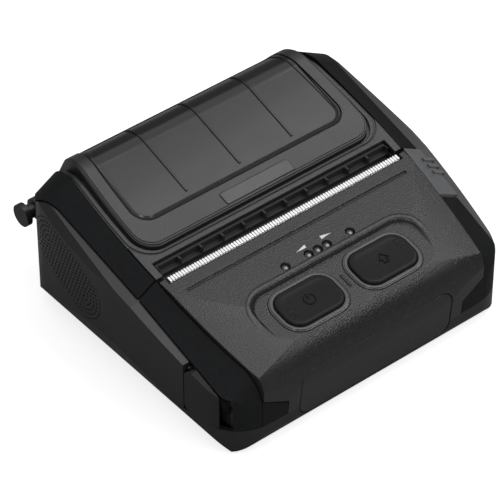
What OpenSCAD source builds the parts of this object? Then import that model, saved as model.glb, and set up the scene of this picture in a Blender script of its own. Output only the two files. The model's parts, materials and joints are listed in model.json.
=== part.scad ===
// Portable four inch receipt and label printer, modelled as an assembly.
// Front faces -Y, the operator's right hand is +X, the flat base stands on Z = 0.
// The origin is on the table under the middle of the whole footprint.
// While the pieces are drawn, Y counts from a datum line near the tear bar.
// All lengths are millimetres.

/* [Overall form] */
// Half width over the side covers at their widest
half_w = 74; // [72:0.5:80]
// Distance from the datum line to the middle of the front face
front_y = 65.6; // [65.2:0.1:69]
// Distance from the datum line to the rear wall
rear_y = 67.3; // [65.8:0.1:69]
// Height of the base plate above the table
base_z = 0.8; // [0.5:0.1:2]
// Radius that barrels the long sides in plan
side_sweep_r = 400; // [300:10:600]
// Radius that bows the front and rear in plan
end_sweep_r = 600; // [400:10:1200]
// Radius of the four upright corners
corner_r = 17.5; // [10:0.5:20]
// Distance of the widest station behind the datum line
waist_y = 8; // [0:1:20]
// Wall thickness of the moulded covers
wall = 2.2; // [1.6:0.1:2.8]
// Visible gap between neighbouring covers
seam_gap = 0.5; // [0.3:0.05:0.7]

/* [Control panel] */
// Height of the panel at the tear bar
panel_z = 48.9; // [44:0.1:52]
// Depth station of the tear bar edge
panel_y = -8.5; // [-12:0.1:-6]
// Slope of the control panel in degrees
panel_tilt = 10.2; // [6:0.1:14]
// Radius of the bend from panel to front face
front_bend_r = 20; // [12:0.5:22]
// Radius of the crown across the panel
crown_r = 350; // [250:10:600]
// Half width of the covers at the shoulder seam
seam_x = 60.8; // [58:0.1:62]
// Half width of the sunken control field
field_x = 40.4; // [38:0.1:44]
// Depth station of the rear edge of the sunken control field
field_rear_y = -33.2; // [-33.6:0.1:-31]
// Depth of the sunken control field
field_depth = 2; // [1:0.1:2.6]
// Centre distance of the two push buttons from the middle
button_x = 18.2; // [17:0.1:20]
// Depth station of the push buttons
button_y = -45.6; // [-47:0.1:-44]
// Width of a push button
button_w = 27; // [22:0.5:29]
// Length of a push button
button_l = 17.4; // [14:0.2:18]
// Travel of a push button
button_travel = 0.9; // [0.5:0.1:1.2]
// Diameter of a status light
light_d = 2.6; // [2:0.1:3]

/* [Lid] */
// Slope of the raised lid panel in degrees
lid_tilt = 16.7; // [14:0.1:18]
// Height of the raised lid panel above its reference line
lid_rise = 52.4; // [50:0.1:54]
// Half width of the raised lid panel
lid_panel_x = 57.2; // [54:0.1:57.6]
// Depth station of the front edge of the raised lid panel
lid_panel_y = 3.6; // [3:0.1:6]
// Half width of the window
window_x = 50.9; // [46:0.1:52]
// Depth station of the front edge of the window
window_front_y = 13.8; // [13:0.1:20]
// Width of the raised border of the window
window_border = 1.7; // [1:0.1:3]
// Height of the lower edge of the lid at the rear
lid_low_z = 27.6; // [26:0.1:28]
// Depth station of the lid hinge axis
hinge_y = 71.6; // [70:0.1:74]
// Height of the lid hinge axis
hinge_z = 30.6; // [28:0.1:34]
// Diameter of the hinge barrel
hinge_d = 9; // [8:0.1:10]
// Diameter of the hinge pin
hinge_pin_d = 3; // [2.5:0.1:4]

/* [Print mechanism] */
// Diameter of the rubber platen roller
platen_d = 12; // [11:0.1:13]
// Depth station of the platen axis
platen_y = -1.9; // [-2.4:0.1:-1.5]
// Height of the platen axis
platen_z = 38.6; // [37:0.1:39.5]
// Half length of the rubber roller
platen_x = 56; // [50:0.5:56.5]
// Diameter of the paper roll bay
roll_bay_d = 54; // [50:0.5:55]
// Depth station of the paper roll axis
roll_y = 34; // [33:0.1:35]
// Height of the paper roll axis
roll_z = 31; // [30.5:0.1:32]
// Gear tooth module
tooth_m = 0.8; // [0.7:0.05:0.9]

/* [Battery and fixings] */
// Width of the battery pack
battery_w = 72; // [60:0.5:74]
// Room between the middle of the front face and the battery pack
battery_room = 6; // [5.8:0.1:9]
// Distance from the datum line to the rear end of the battery pack
battery_end = 23; // [22.7:0.1:28]
// Height of the battery pack
battery_h = 19; // [15:0.5:19.5]
// Half distance between the rubber feet
foot_x = 50; // [44:0.5:52]

/* [Display] */
// Named piece to show

/* [Hidden] */
$fn = 96;
tiny = 0.01;
panel_slope = tan(panel_tilt);
lid_slope = tan(lid_tilt);
shoulder_tilt = 30;
shoulder_fall = 0.35584;
running = 0.3;
bulge = 0.6;
upper_bulge = 2.5;
arc_lap = 0.02;
split_z = 11.5;
battery_l = front_y - battery_room - battery_end;
battery_y = -battery_end - battery_l / 2;
screw_spots = [[-55, -28], [55, -28], [-62, 40], [62, 40]];
screw_boss_d = 7.6;
screw_d = 3;
screw_head_d = 5;
screw_seat_z = 3.4;
screw_top = 8.4;
crown_rise = 6.4;
crown_tilt = 17.8;
skirt_t = 0.8;
skirt_h = 5;
name_plate_y = 7.4;
window_rear_y = 59;
arch_gap = 0.6;
port_y0 = 7.6 - front_y;
port_y1 = port_y0 + 21;
port_hinge_x = half_w - 4;
port_hinge_y = port_y1 - 1.8;
port_flap_x = half_w - 5.6;
jack_y = port_y0 + 5.2;
socket_y0 = port_y0 + 10.4;
socket_y1 = port_y0 + 15.6;
socket_z = 20.5;
grille_a = [43, 38.6];
grille_b = [22.4, 30.2];
grille_r = 11.6;
lever_y0 = -31;
lever_y1 = -8.1;
side_plate_x = 58.3;
side_plate_t = 1;
gear_x = -64.4;
gear_t = 2.8;
flange_w = 22.6;
motor_d = 18;
flange_h = 22;
latch_c = [3.6, 24];
head_pivot_y = -11.5;
head_pivot_z = 16.4;
light_x = [-15.9, -4.5, 0, 4.5, 15.9];
light_y = -28.7;
board_drop = 10.6;
platen_teeth = 14;
idler_teeth = 24;
relay_teeth = 16;
pinion_teeth = 12;
mesh_angle = -96.2;
front_reach = front_y - 1.245;
rear_reach = hinge_y + hinge_d / 2 + 0.3;

// Moves a piece from the datum line to its place over the origin.
module placed() {
  translate([0, (front_reach - rear_reach) / 2, 0])
    children();
}

// Height of the control panel at a depth station.
function panel_at(y) = panel_z + panel_slope * (y - panel_y);

// Height of the raised lid panel at a depth station.
function lid_at(y) = lid_rise + lid_slope * y;

// Outline of the front covers seen from the side, anticlockwise.
front_pts = [
  [front_y * -1 + 3, base_z],
  [20, base_z],
  [20, panel_at(20)],
  [-front_y - 0.2, panel_at(-front_y)]
];
front_radii = [7, 0, 0, front_bend_r];

// Outline of the lid shell seen from the side.
lid_pts = [
  [-7.4, base_z],
  [rear_y + 1, base_z],
  [rear_y + 1, 40.6],
  [52.8, 64.4],
  [-7.4, 48.9]
];
lid_radii = [0, 20, 14, 18, 0];

// Outline of the shoulders seen from the side, front to rear.
shoulder_pts = [
  [2.8 - front_y, base_z],
  [rear_y + 1, base_z],
  [rear_y + 1, 40.6],
  [52.8, 64.4],
  [-8, 48.6],
  [2.8 - front_y, 48.6 - shoulder_fall * (front_y - 10.8)]
];
shoulder_radii = [7, 20, 14, 18, 0, 14];

// Outline of the raised lid panel seen from the side.
crest_pts = [
  [lid_panel_y - 3, 40],
  [rear_y + 0.8, 40],
  [rear_y + 0.8, 43.6],
  [54.2, lid_at(54.2)],
  [lid_panel_y - 3, lid_at(lid_panel_y - 3)]
];
crest_radii = [0, 0, 12, 14, 0];

// Outline of the low case seen from the side.
base_pts = [
  [-front_y + 3, base_z],
  [rear_y + 1, base_z],
  [rear_y + 1, 60],
  [-front_y - 2, 60]
];
base_radii = [7, 20, 0, 0];

// Arch of the side covers, seen from the side.
arch_pts = [
  [-90, base_z],
  [61, base_z],
  [61, 42],
  [50.4, 58],
  [-8, 43.2],
  [-90, 15.16]
];
arch_radii = [0, 24, 12, 14, 0, 0];

// Point of an outline moved inwards by the distance d.
function inset_point(p, q, r, d) =
  let (
    u = (q - p) / norm(q - p),
    v = (r - q) / norm(r - q),
    a = [-u[1], u[0]],
    b = [-v[1], v[0]]
  ) q + d * (a + b) / (1 + a * b);

// Whole outline moved inwards.
function inset(pts, d) =
  let (n = len(pts)) [
    for (i = [0 : n - 1])
      inset_point(pts[(i + n - 1) % n], pts[i], pts[(i + 1) % n], d)
  ];

// Tangent points and centre of the arc that rounds one corner.
function corner_arc(p, q, r, rad) =
  let (
    u = (p - q) / norm(p - q),
    v = (r - q) / norm(r - q),
    half = acos(u * v) / 2,
    t = rad / tan(half)
  ) [q + u * t, q + v * t, q + (u + v) / norm(u + v) * rad / sin(half)];

// Convex outline with true arcs at its corners.
module rounded_outline(pts, radii) {
  n = len(pts);
  arcs = [
    for (i = [0 : n - 1])
      corner_arc(pts[(i + n - 1) % n], pts[i], pts[(i + 1) % n], max(radii[i], 0))
  ];
  polygon([for (i = [0 : n - 1], k = [0, 1]) if (k == 0 || radii[i] > 0) arcs[i][k]]);
  for (i = [0 : n - 1]) {
    if (radii[i] > 0) {
      translate(arcs[i][2])
        circle(r = radii[i] + arc_lap);
    }
  }
}

// Side outline drawn inwards by d and carried across the whole width.
module across(pts, radii, d = 0, x0 = -90, x1 = 90) {
  translate([x0, 0, 0])
    rotate([90, 0, 90])
      linear_extrude(x1 - x0)
        rounded_outline(inset(pts, d), [for (r = radii) max(r - d, 0)]);
}

// Rectangle with true corner arcs, centred.
module pad(w, l, r) {
  square([w - 2 * r, l], center = true);
  square([w, l - 2 * r], center = true);
  for (sx = [-1, 1], sy = [-1, 1]) {
    translate([sx * (w / 2 - r), sy * (l / 2 - r)])
      circle(r = r);
  }
}

// Flat block with rounded upright corners, standing on z.
module pad_block(w, l, h, r) {
  linear_extrude(h)
    pad(w, l, r);
}

// Crossing on the right of two circles given by centre and radius.
function crossing(a, ra, b, rb) =
  let (
    v = b - a,
    l = norm(v),
    t = (l * l + ra * ra - rb * rb) / 2 / l,
    h = sqrt(ra * ra - t * t),
    p = a + v * t / l,
    n = [v[1], -v[0]] / l * h
  ) (p + n)[0] > (p - n)[0] ? p + n : p - n;

// Centres of the large arcs on the right, in front and behind.
function side_centre(half) = [half - side_sweep_r, waist_y];
end_centres = [[0, end_sweep_r - front_y], [0, rear_y - end_sweep_r]];

// Centre of the corner arc that meets the side arc and one end arc.
function corner_centre(half, k) =
  crossing(side_centre(half), side_sweep_r - corner_r, end_centres[k], end_sweep_r - corner_r);

// Point on the line from a through b, a length r beyond b.
function beyond(a, b, r) = b + (b - a) / norm(b - a) * r;

// Barrel shaped plan of the printer at a chosen half width, drawn inwards by d.
module plan(half, d = 0) {
  spare = 6;
  c = side_centre(half);
  q = [corner_centre(half, 0), corner_centre(half, 1)];
  right = [
    beyond(end_centres[0], q[0], corner_r + spare),
    beyond(end_centres[0], q[0], corner_r - d),
    beyond(c, q[0], corner_r - d),
    beyond(c, q[0], corner_r + spare),
    beyond(c, q[1], corner_r + spare),
    beyond(c, q[1], corner_r - d),
    beyond(end_centres[1], q[1], corner_r - d),
    beyond(end_centres[1], q[1], corner_r + spare)
  ];
  intersection() {
    translate(c)
      circle(r = side_sweep_r - d, $fn = 256);
    translate([-c[0], c[1]])
      circle(r = side_sweep_r - d, $fn = 256);
    translate(end_centres[0])
      circle(r = end_sweep_r - d, $fn = 256);
    translate(end_centres[1])
      circle(r = end_sweep_r - d, $fn = 256);
    union() {
      polygon(concat(right, [for (i = [7 : -1 : 0]) [-right[i][0], right[i][1]]]));
      for (k = [0, 1], s = [-1, 1])
        translate([s * q[k][0], q[k][1]])
          circle(r = corner_r - d + arc_lap);
    }
  }
}

// Plan of the middle covers between the two shoulder seams.
module middle_plan(y0, y1, gap = 0) {
  intersection() {
    translate([seam_x - side_sweep_r, waist_y])
      circle(r = side_sweep_r - gap, $fn = 256);
    translate([side_sweep_r - seam_x, waist_y])
      circle(r = side_sweep_r - gap, $fn = 256);
    translate([-90, y0])
      square([180, y1 - y0]);
  }
}

// Upright zone above z0 with sides that follow the seams and rounded corners.
module seam_zone(half, y0, y1, r, z0 = 44) {
  intersection() {
    translate([0, (y0 + y1) / 2, z0])
      pad_block(2 * half, y1 - y0, 50, r);
    translate([0, 0, z0 - 1])
      linear_extrude(60)
        middle_plan(y0 - 1, y1 + 1, seam_x - half - 0.2);
  }
}

// Half of the bulged cross section of the side covers.
module half_section(d) {
  intersection() {
    translate([half_w + bulge - 34, 24])
      circle(r = 34 - d);
    translate([0, base_z + d])
      square([90, 24 - base_z - d]);
  }
  intersection() {
    translate([half_w + upper_bulge - 93, 24])
      circle(r = 93 - d);
    translate([0, 24])
      square([90, 60]);
  }
  translate([0, base_z + d])
    square([half_w - 34, 23.2 - d]);
}

// Bulged cross section carried from front to rear.
module section_body(d) {
  translate([0, 90, 0])
    rotate([90, 0, 0])
      linear_extrude(180) {
        half_section(d);
        mirror([1, 0, 0])
          half_section(d);
      }
}

// Body under the sloping right shoulder, drawn inwards by d.
module shoulder_form(d) {
  pts = [for (p = shoulder_pts) [p[0], p[1] * cos(shoulder_tilt)]];
  radii = [for (r = shoulder_radii) max(r - d, 0)];
  intersection() {
    translate([0, 0, base_z])
      linear_extrude(90)
        plan(half_w, d);
    section_body(d);
    translate([seam_x, 0, 0])
      rotate([0, shoulder_tilt, 0])
        translate([-60, 0, 0])
          rotate([90, 0, 90])
            linear_extrude(100)
              rounded_outline(inset(pts, d), radii);
  }
}

// Body under the control panel, with its crown, drawn inwards by d.
module panel_form(d) {
  intersection() {
    translate([0, 0, base_z])
      linear_extrude(90)
        plan(half_w, d);
    across(front_pts, front_radii, d);
    translate([0, panel_y, panel_z + crown_rise])
      rotate([crown_tilt, 0, 0])
        translate([0, 60, -crown_r])
          rotate([90, 0, 0])
            cylinder(r = crown_r - d, h = 200, $fn = 256);
  }
}

// Body under the lid shell, drawn inwards by d.
module lid_form(d) {
  intersection() {
    linear_extrude(90)
      plan(half_w, d);
    across(lid_pts, lid_radii, d);
  }
}

// Body of the bulging side cover under its arch, drawn inwards by d.
module arch_form(d) {
  intersection() {
    translate([0, 0, base_z])
      linear_extrude(90)
        plan(half_w, d);
    section_body(d);
    across(arch_pts, arch_radii, d);
  }
}

// Low body of the bottom case, drawn inwards by d.
module base_form(d) {
  intersection() {
    translate([0, 0, base_z + d])
      linear_extrude(90)
        plan(half_w, d);
    section_body(d);
    across(base_pts, base_radii, d);
  }
}

// Everything on the right of the shoulder seam, for a range of depths.
module outside_seam(y0, y1, gap = 0) {
  translate([0, 0, -1])
    linear_extrude(100)
      difference() {
        translate([0, y0])
          square([90, y1 - y0]);
        translate([seam_x - side_sweep_r, waist_y])
          circle(r = side_sweep_r + gap, $fn = 256);
      }
}

// Middle covers between the seams, for a range of depths.
module inside_seam(y0, y1, gap = 0) {
  translate([0, 0, -1])
    linear_extrude(100)
      middle_plan(y0, y1, gap);
}

// The same shape on both sides.
module both_sides() {
  children();
  mirror([1, 0, 0])
    children();
}

// Cylinder along X between two stations.
module rod_x(d, x0, x1) {
  translate([x0, 0, 0])
    rotate([0, 90, 0])
      cylinder(d = d, h = x1 - x0);
}

// Block given by its low and high corners.
module block(a, b) {
  translate(a)
    cube(b - a);
}

// Places children in the plane of the control panel at a depth station.
module on_panel(y) {
  translate([0, y, panel_at(y)])
    rotate([panel_tilt, 0, 0])
      children();
}

// Places children in the plane of the raised lid panel at a depth station.
module on_lid(y) {
  translate([0, y, lid_at(y)])
    rotate([lid_tilt, 0, 0])
      children();
}

// Pitch radius of a gear.
function pitch_r(teeth) = teeth * tooth_m / 2;

// Point of an involute flank at radius q for base radius b, turned by a.
function flank(q, b, a) =
  let (t = q > b ? sqrt(q * q / b / b - 1) : 0, w = t * 180 / PI - atan(t))
    [q * cos(a - w), q * sin(a - w)];

// Outline of a spur gear with thinned involute teeth.
module gear_outline(teeth) {
  r = pitch_r(teeth);
  b = r * cos(20);
  root = r - 1.15 * tooth_m;
  tip = r + 0.8 * tooth_m;
  t0 = sqrt(r * r / b / b - 1);
  half = 90 / teeth - 0.2 / r * 180 / PI + t0 * 180 / PI - atan(t0);
  steps = [root, max(b, root + 0.05), (b + tip) / 2, tip];
  polygon([
    for (k = [0 : teeth - 1])
      each concat(
        [for (q = steps) let (p = flank(q, b, half)) turned([p[0], -p[1]], k * 360 / teeth)],
        [for (j = [3 : -1 : 0]) turned(flank(steps[j], b, half), k * 360 / teeth)]
      )
  ]);
}

// Point turned about the origin.
function turned(p, a) = [p[0] * cos(a) - p[1] * sin(a), p[0] * sin(a) + p[1] * cos(a)];

// Turn of a driven gear so that its gap meets a tooth of its driver.
function mesh_turn(phi, a, na, nb) = phi + 180 - (0.5 - (phi - a) * na / 360) * 360 / nb;

idler_c = [platen_y, platen_z]
  + (pitch_r(platen_teeth) + pitch_r(idler_teeth)) * [cos(mesh_angle), sin(mesh_angle)];
relay_c = idler_c - [pitch_r(idler_teeth) + pitch_r(relay_teeth), 0];
pinion_c = relay_c - [pitch_r(relay_teeth) + pitch_r(pinion_teeth), 0];
idler_turn = mesh_turn(mesh_angle, 0, platen_teeth, idler_teeth);
relay_turn = mesh_turn(180, idler_turn, idler_teeth, relay_teeth);
pinion_turn = mesh_turn(180, relay_turn, relay_teeth, pinion_teeth);

// Gear standing on the left of the mechanism at a centre in the side view.
module gear(c, teeth, turn, bore, x = gear_x, t = gear_t) {
  translate([x, c[0], c[1]])
    rotate([90, 0, 90])
      linear_extrude(t)
        difference() {
          rotate(turn)
            gear_outline(teeth);
          circle(d = bore);
        }
}

// Bottom case: a tray that carries everything.
module bottom_case() {
  placed() color([0.07, 0.07, 0.08])
    difference() {
      union() {
        difference() {
          intersection() {
            base_form(0);
            block([-100, -100, 0], [100, 100, split_z]);
          }
          difference() {
            base_form(wall);
            // Cross wall between the print mechanism and the roll bay.
            block([-57.6, 1.6, 0], [57.6, 3.4, 60]);
          }
        }
        for (p = screw_spots)
          translate([p[0], p[1], base_z + 1])
            cylinder(d = screw_boss_d, h = screw_top - base_z - 1);
      }
      // Mouth of the battery bay in the floor.
      translate([0, battery_y, 0])
        pad_block(battery_w + 2 * running, battery_l + 2 * running, 8, 3);
      // Slot of the battery latch.
      block([-6.4, -21, 0], [6.4, -14.4, 5]);
      front_pad(0.4, 1.4);
      for (p = screw_spots)
        translate([p[0], p[1], 0]) {
          cylinder(d = screw_d + 2 * 0.15, h = 20);
          cylinder(d = screw_head_d + 2 * running, h = screw_seat_z);
        }
      for (x = [-1, 1], y = [-50, 46])
        translate([x * foot_x, y, 0])
          cylinder(d = 10.4, h = base_z + 0.8);
    }
}

// Shallow rounded field on the front face, grown sideways by g and sunk by d.
module front_pad(g, d) {
  difference() {
    translate([0, -40, 16.6])
      rotate([90, 0, 0])
        linear_extrude(60)
          pad(74.4 + 2 * g, 21.4 + 2 * g, 5 + g);
    intersection() {
      panel_form(d);
      base_form(d);
    }
  }
}

// Cover plate set into the front face.
module front_plate() {
  placed() color([0.09, 0.09, 0.1])
    intersection() {
      front_pad(0, 1.3);
      panel_form(0.1);
    }
}

// Sunken control field, open towards the front bend.
module control_field(g, depth) {
  on_panel(field_rear_y)
    translate([0, -30, -depth])
      linear_extrude(30)
        pad(2 * (field_x + g), 60 + 2 * g, 9 + g);
}

// Upper front cover with the control panel and the front face.
module front_case() {
  placed() color([0.08, 0.08, 0.085])
    difference() {
      intersection() {
        panel_form(0);
        inside_seam(-90, -9);
        block([-100, -100, split_z + 0.02], [100, 0, 90]);
      }
      panel_form(skirt_h);
      intersection() {
        difference() {
          panel_form(wall);
          control_field(3, 12);
        }
        inside_seam(-90, 0, skirt_t);
      }
      control_field(2.2, 0.8);
      control_field(0, field_depth);
      for (s = [-1, 1])
        on_panel(button_y)
          translate([s * button_x, 0, -20])
            pad_block(button_w + 4.4, button_l + 4.4, 40, 8.6);
      for (x = light_x)
        on_panel(light_y)
          translate([x, 0, -6]) {
            cylinder(d = light_d + 2 * running, h = 10);
            translate([0, 0, 5.2])
              cylinder(d1 = light_d + 2 * running, d2 = light_d + 1.8, h = 1.2);
          }
      // Crease across the panel behind the tear bar.
      on_panel(-17.4)
        rotate([45, 0, 0])
          cube([108, 1.2, 1.2], center = true);
      // Seat of the tear bar.
      block([-57.6, -11.6, 30], [57.6, 0, 60]);
      front_pad(0.4, 1.4);
      both_sides()
        bumper_tongue(0.4);
    }
  placed() color([0.08, 0.08, 0.085])
    on_panel(-45.4)
      translate([-0.4, -3.2, -field_depth - 0.1])
        cube([0.8, 6.4, 0.6]);
}

// Zone of the bumper tongue that wraps onto the front face, grown by g.
module bumper_tongue(g) {
  rotate([90, 0, 0])
    linear_extrude(80)
      polygon([
        [43.6 - g, split_z - 3],
        [80, split_z - 3],
        [80, 34],
        [60, 26.2 + g],
        [43.6 - g, 17.9 + g]
      ]);
}

// Soft bumper on the right front shoulder and corner.
module bumper(lever) {
  difference() {
    union() {
      difference() {
        intersection() {
          shoulder_form(0);
          outside_seam(-90, -7.6, seam_gap);
        }
        shoulder_form(wall);
        if (lever)
          lever_zone(seam_gap);
      }
      difference() {
        intersection() {
          panel_form(0);
          bumper_tongue(0);
          inside_seam(-90, -40, -seam_gap - tiny);
        }
        panel_form(wall);
      }
    }
    block([-100, -100, 0], [100, 100, split_z + 0.02]);
    arch_cut(port_y0);
  }
}

// Space of the side cover under its arch, right side, from a depth station back.
module arch_cut(y0) {
  intersection() {
    across(arch_pts, arch_radii, -arch_gap, 60, 90);
    block([50, y0, 0], [90, 90, 90]);
  }
}

// Front bumper on the operator's left.
module left_bumper() {
  placed() color([0.13, 0.14, 0.15])
    mirror([1, 0, 0])
      bumper(false);
}

// Front bumper on the operator's right, cut out for the release lever.
module right_bumper() {
  placed() color([0.13, 0.14, 0.15])
    bumper(true);
}

// Part of the right shoulder taken by the release lever, grown by g.
module lever_zone(g) {
  outside_seam(lever_y0 - 2 * g, lever_y1 + 4 * g, seam_gap - g);
}

// Release lever with three finger ridges.
module release_lever() {
  placed() color([0.5, 0.51, 0.53]) {
    difference() {
      intersection() {
        shoulder_form(-0.6);
        lever_zone(0);
        block([50, -80, 22], [90, 0, 60]);
      }
      shoulder_form(wall);
      arch_cut(-80);
    }
    for (k = [0 : 2])
      intersection() {
        shoulder_form(-1.4);
        block([66.2, -21 + 3.2 * k, 22], [72, -19.6 + 3.2 * k, 60]);
        difference() {
          lever_zone(-0.5);
          shoulder_form(0.5);
          arch_cut(-80);
        }
      }
  }
}

// Skin of a side cover with its bulge.
module side_skin(y0) {
  difference() {
    intersection() {
      arch_form(0);
      block([half_w - 8.4, y0, split_z + 0.02], [90, 90, 90]);
    }
    arch_form(wall);
  }
}

// Field of the grille on the side cover, grown by g.
module grille_zone(g) {
  translate([55, 0, 0])
    rotate([90, 0, 90])
      linear_extrude(40)
        grille_outline(g);
}

// Long rounded outline of the grille.
module grille_outline(g) {
  turn = atan2(grille_a[1] - grille_b[1], grille_a[0] - grille_b[0]);
  for (c = [grille_a, grille_b])
    translate(c)
      circle(r = grille_r + g + arc_lap);
  translate((grille_a + grille_b) / 2)
    rotate(turn)
      square([norm(grille_a - grille_b), 2 * (grille_r + g)], center = true);
}

// Side cover on the right, with the seat of its grille.
module side_cover(y0) {
  difference() {
    side_skin(y0);
    difference() {
      grille_zone(0.3);
      arch_form(1.2);
    }
    grille_zone(-1.4);
  }
}

// Side cover on the operator's left; the port cover closes its front end.
module left_side_cover() {
  placed() color([0.085, 0.085, 0.09])
    mirror([1, 0, 0])
      side_cover(port_y1 + 0.3);
}

// Side cover on the operator's right.
module right_side_cover() {
  placed() color([0.085, 0.085, 0.09])
    side_cover(port_y0 + 0.3);
}

// Perforated grille with nested rows of round holes.
module grille() {
  turn = atan2(grille_a[1] - grille_b[1], grille_a[0] - grille_b[0]);
  long = norm(grille_a - grille_b);
  difference() {
    intersection() {
      arch_form(0);
      grille_zone(0);
    }
    arch_form(1.2);
    translate([60, (grille_a[0] + grille_b[0]) / 2, (grille_a[1] + grille_b[1]) / 2])
      rotate([90, 0, 90])
        rotate(turn)
          for (ring = [0 : 5]) {
            r = 0.2 + ring * 1.95;
            n_line = 12;
            n_arc = max(1, round(PI * r / 1.9));
            for (k = [1 : n_line - 1], s = [-1, 1])
              if (ring > 0 || s > 0)
                translate([-long / 2 + k * long / n_line, s * (ring > 0 ? r : 0)])
                  cylinder(d = 1.1, h = 30, $fn = 16);
            for (k = [0 : n_arc], s = [-1, 1])
              if (ring > 0 || k == 0)
                translate([
                  s * (long / 2 + (ring > 0 ? r * sin(180 * k / n_arc) : 0)),
                  ring > 0 ? r * cos(180 * k / n_arc) : 0
                ])
                  cylinder(d = 1.1, h = 30, $fn = 16);
          }
  }
}

// Grille on the operator's left.
module left_grille() {
  placed() color([0.06, 0.06, 0.065])
    mirror([1, 0, 0])
      grille();
}

// Grille on the operator's right.
module right_grille() {
  placed() color([0.06, 0.06, 0.065])
    grille();
}

// Rubber flap over the power and data sockets, hinged at its rear edge.
module port_cover() {
  placed() color([0.05, 0.05, 0.055])
    mirror([1, 0, 0]) {
      difference() {
        intersection() {
          arch_form(-0.3);
          block([port_flap_x, port_y0 + 0.3, split_z + 0.4], [90, port_y1 - 0.55, 90]);
          translate([50, 0, 0])
            rotate([90, 0, 90])
              linear_extrude(50)
                translate([(port_y0 + port_y1) / 2 + 0.9, 22])
                  pad(port_y1 - port_y0 + 1.2, 21.2, 8);
        }
        arch_form(1.8);
      }
      translate([port_hinge_x, port_hinge_y, 14])
        cylinder(d = 2.4, h = 14);
    }
}

// Wall with the sockets behind the port cover.
module port_panel() {
  placed() color([0.06, 0.06, 0.065])
    mirror([1, 0, 0])
      difference() {
        intersection() {
          arch_form(wall + 0.2);
          block([62, port_y0 + 0.5, split_z + 0.1], [64, port_y1 + 0.4, 31]);
        }
        translate([55, jack_y, socket_z])
          rotate([0, 90, 0])
            cylinder(d = 6.9, h = 20);
        block([55, socket_y0 - 0.3, socket_z - 4.1], [80, socket_y1 + 0.3, socket_z + 4.1]);
      }
}

// Power inlet behind the port cover.
module power_jack() {
  placed() color([0.1, 0.1, 0.1])
    translate([-63.6, jack_y, socket_z])
      rotate([0, 90, 0])
        difference() {
          union() {
            cylinder(d = 6.4, h = 12);
            translate([-4.4, -4.2, 1.8])
              cube([9, 8.4, 10.4]);
          }
          translate([0, 0, -1])
            cylinder(d = 5.2, h = 9);
        }
  placed() color([0.75, 0.75, 0.72])
    translate([-62.4, jack_y, socket_z])
      rotate([0, 90, 0])
        cylinder(d = 1.6, h = 8);
}

// Data socket behind the port cover.
module data_socket() {
  placed() color([0.72, 0.72, 0.7])
    difference() {
      block([-63.8, socket_y0, socket_z - 3.8], [-55, socket_y1, socket_z + 3.8]);
      block([-70, socket_y0 + 0.6, socket_z - 3.2], [-57, socket_y1 - 0.6, socket_z + 3.2]);
    }
  placed() color([0.1, 0.1, 0.1])
    block([-62.8, socket_y0 + 2.2, socket_z - 2.1], [-56.9, socket_y0 + 3, socket_z + 2.1]);
}

// Serrated steel tear bar at the paper exit.
module tear_bar() {
  teeth = 90;
  pitch = 113.4 / teeth;
  placed() color([0.78, 0.79, 0.8]) {
    on_panel(-9.8)
      translate([-56.7, 0, -1.4])
        linear_extrude(1.3)
          polygon(concat(
            [for (k = [0 : teeth - 1], h = [0, 1]) [(k + h / 2) * pitch, h == 0 ? 0.7 : 1.3]],
            [[113.4, 0.7], [113.4, -1.2], [0, -1.2]]
          ));
    block([-56.7, -11, 42.9], [56.7, -10, 47.8]);
  }
}

// Glossy ring around each push button.
module button_bezels() {
  placed() color([0.03, 0.03, 0.035])
    for (s = [-1, 1])
      on_panel(button_y)
        translate([s * button_x, 0, -field_depth - 2.2])
          difference() {
            union() {
              pad_block(button_w + 4, button_l + 4, 2.4, 8.4);
              pad_block(button_w + 3, button_l + 3, 2.8, 7.9);
            }
            translate([0, 0, -1])
              pad_block(button_w + 2 * running, button_l + 2 * running, 6, 6.4 + running);
          }
}

// Cap of a push button with its stem.
module button_cap() {
  translate([0, 0, -field_depth - 2]) {
    pad_block(button_w, button_l, 3, 6.4);
    pad_block(button_w - 1, button_l - 1, 3.5, 5.9);
    pad_block(button_w - 2.2, button_l - 2.2, 3.8, 5.3);
    translate([0, 0, -3.6])
      cylinder(d = 4, h = 3.8);
  }
}

// Power button with its raised sign.
module power_button() {
  placed() color([0.1, 0.1, 0.105])
    on_panel(button_y)
      translate([-button_x, 0, 0]) {
        button_cap();
        translate([0, 0, -0.4]) {
          difference() {
            cylinder(d = 5, h = 0.5);
            translate([0, 0, -1])
              cylinder(d = 4, h = 3);
            translate([-0.9, 0, -1])
              cube([1.8, 4, 3]);
          }
          translate([-0.25, 0.2, 0])
            cube([0.5, 2.8, 0.5]);
          for (k = [-1 : 1])
            translate([-button_w / 2 + 3.4, -2.6 + 2.1 * k, 0])
              cylinder(d = 0.9, h = 0.5);
        }
      }
}

// Paper feed button with its raised sign.
module feed_button() {
  placed() color([0.1, 0.1, 0.105])
    on_panel(button_y)
      translate([button_x, 0, 0]) {
        button_cap();
        translate([0, 0, -0.4]) {
          difference() {
            linear_extrude(0.5)
              polygon([[-2.2, -0.6], [0, 2.6], [2.2, -0.6], [1, -0.6], [1, -2.4], [-1, -2.4], [-1, -0.6]]);
            translate([0, 0, -1])
              linear_extrude(3)
                polygon([[-1.3, -0.1], [0, 1.8], [1.3, -0.1], [0.5, -0.1], [0.5, -1.9], [-0.5, -1.9], [-0.5, -0.1]]);
          }
          for (k = [-1 : 1])
            translate([button_w / 2 - 3.4, 2.6 + 2.1 * k, 0])
              cylinder(d = 0.9, h = 0.5);
        }
      }
}

// Clear pipes that carry the status lights to the panel.
module light_pipes() {
  placed() color([0.7, 0.72, 0.72])
    for (x = light_x)
      on_panel(light_y)
        translate([x, 0, -8.4]) {
          cylinder(d = light_d, h = 7.6);
          cylinder(d = light_d + 1, h = 1.6);
        }
}

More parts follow.
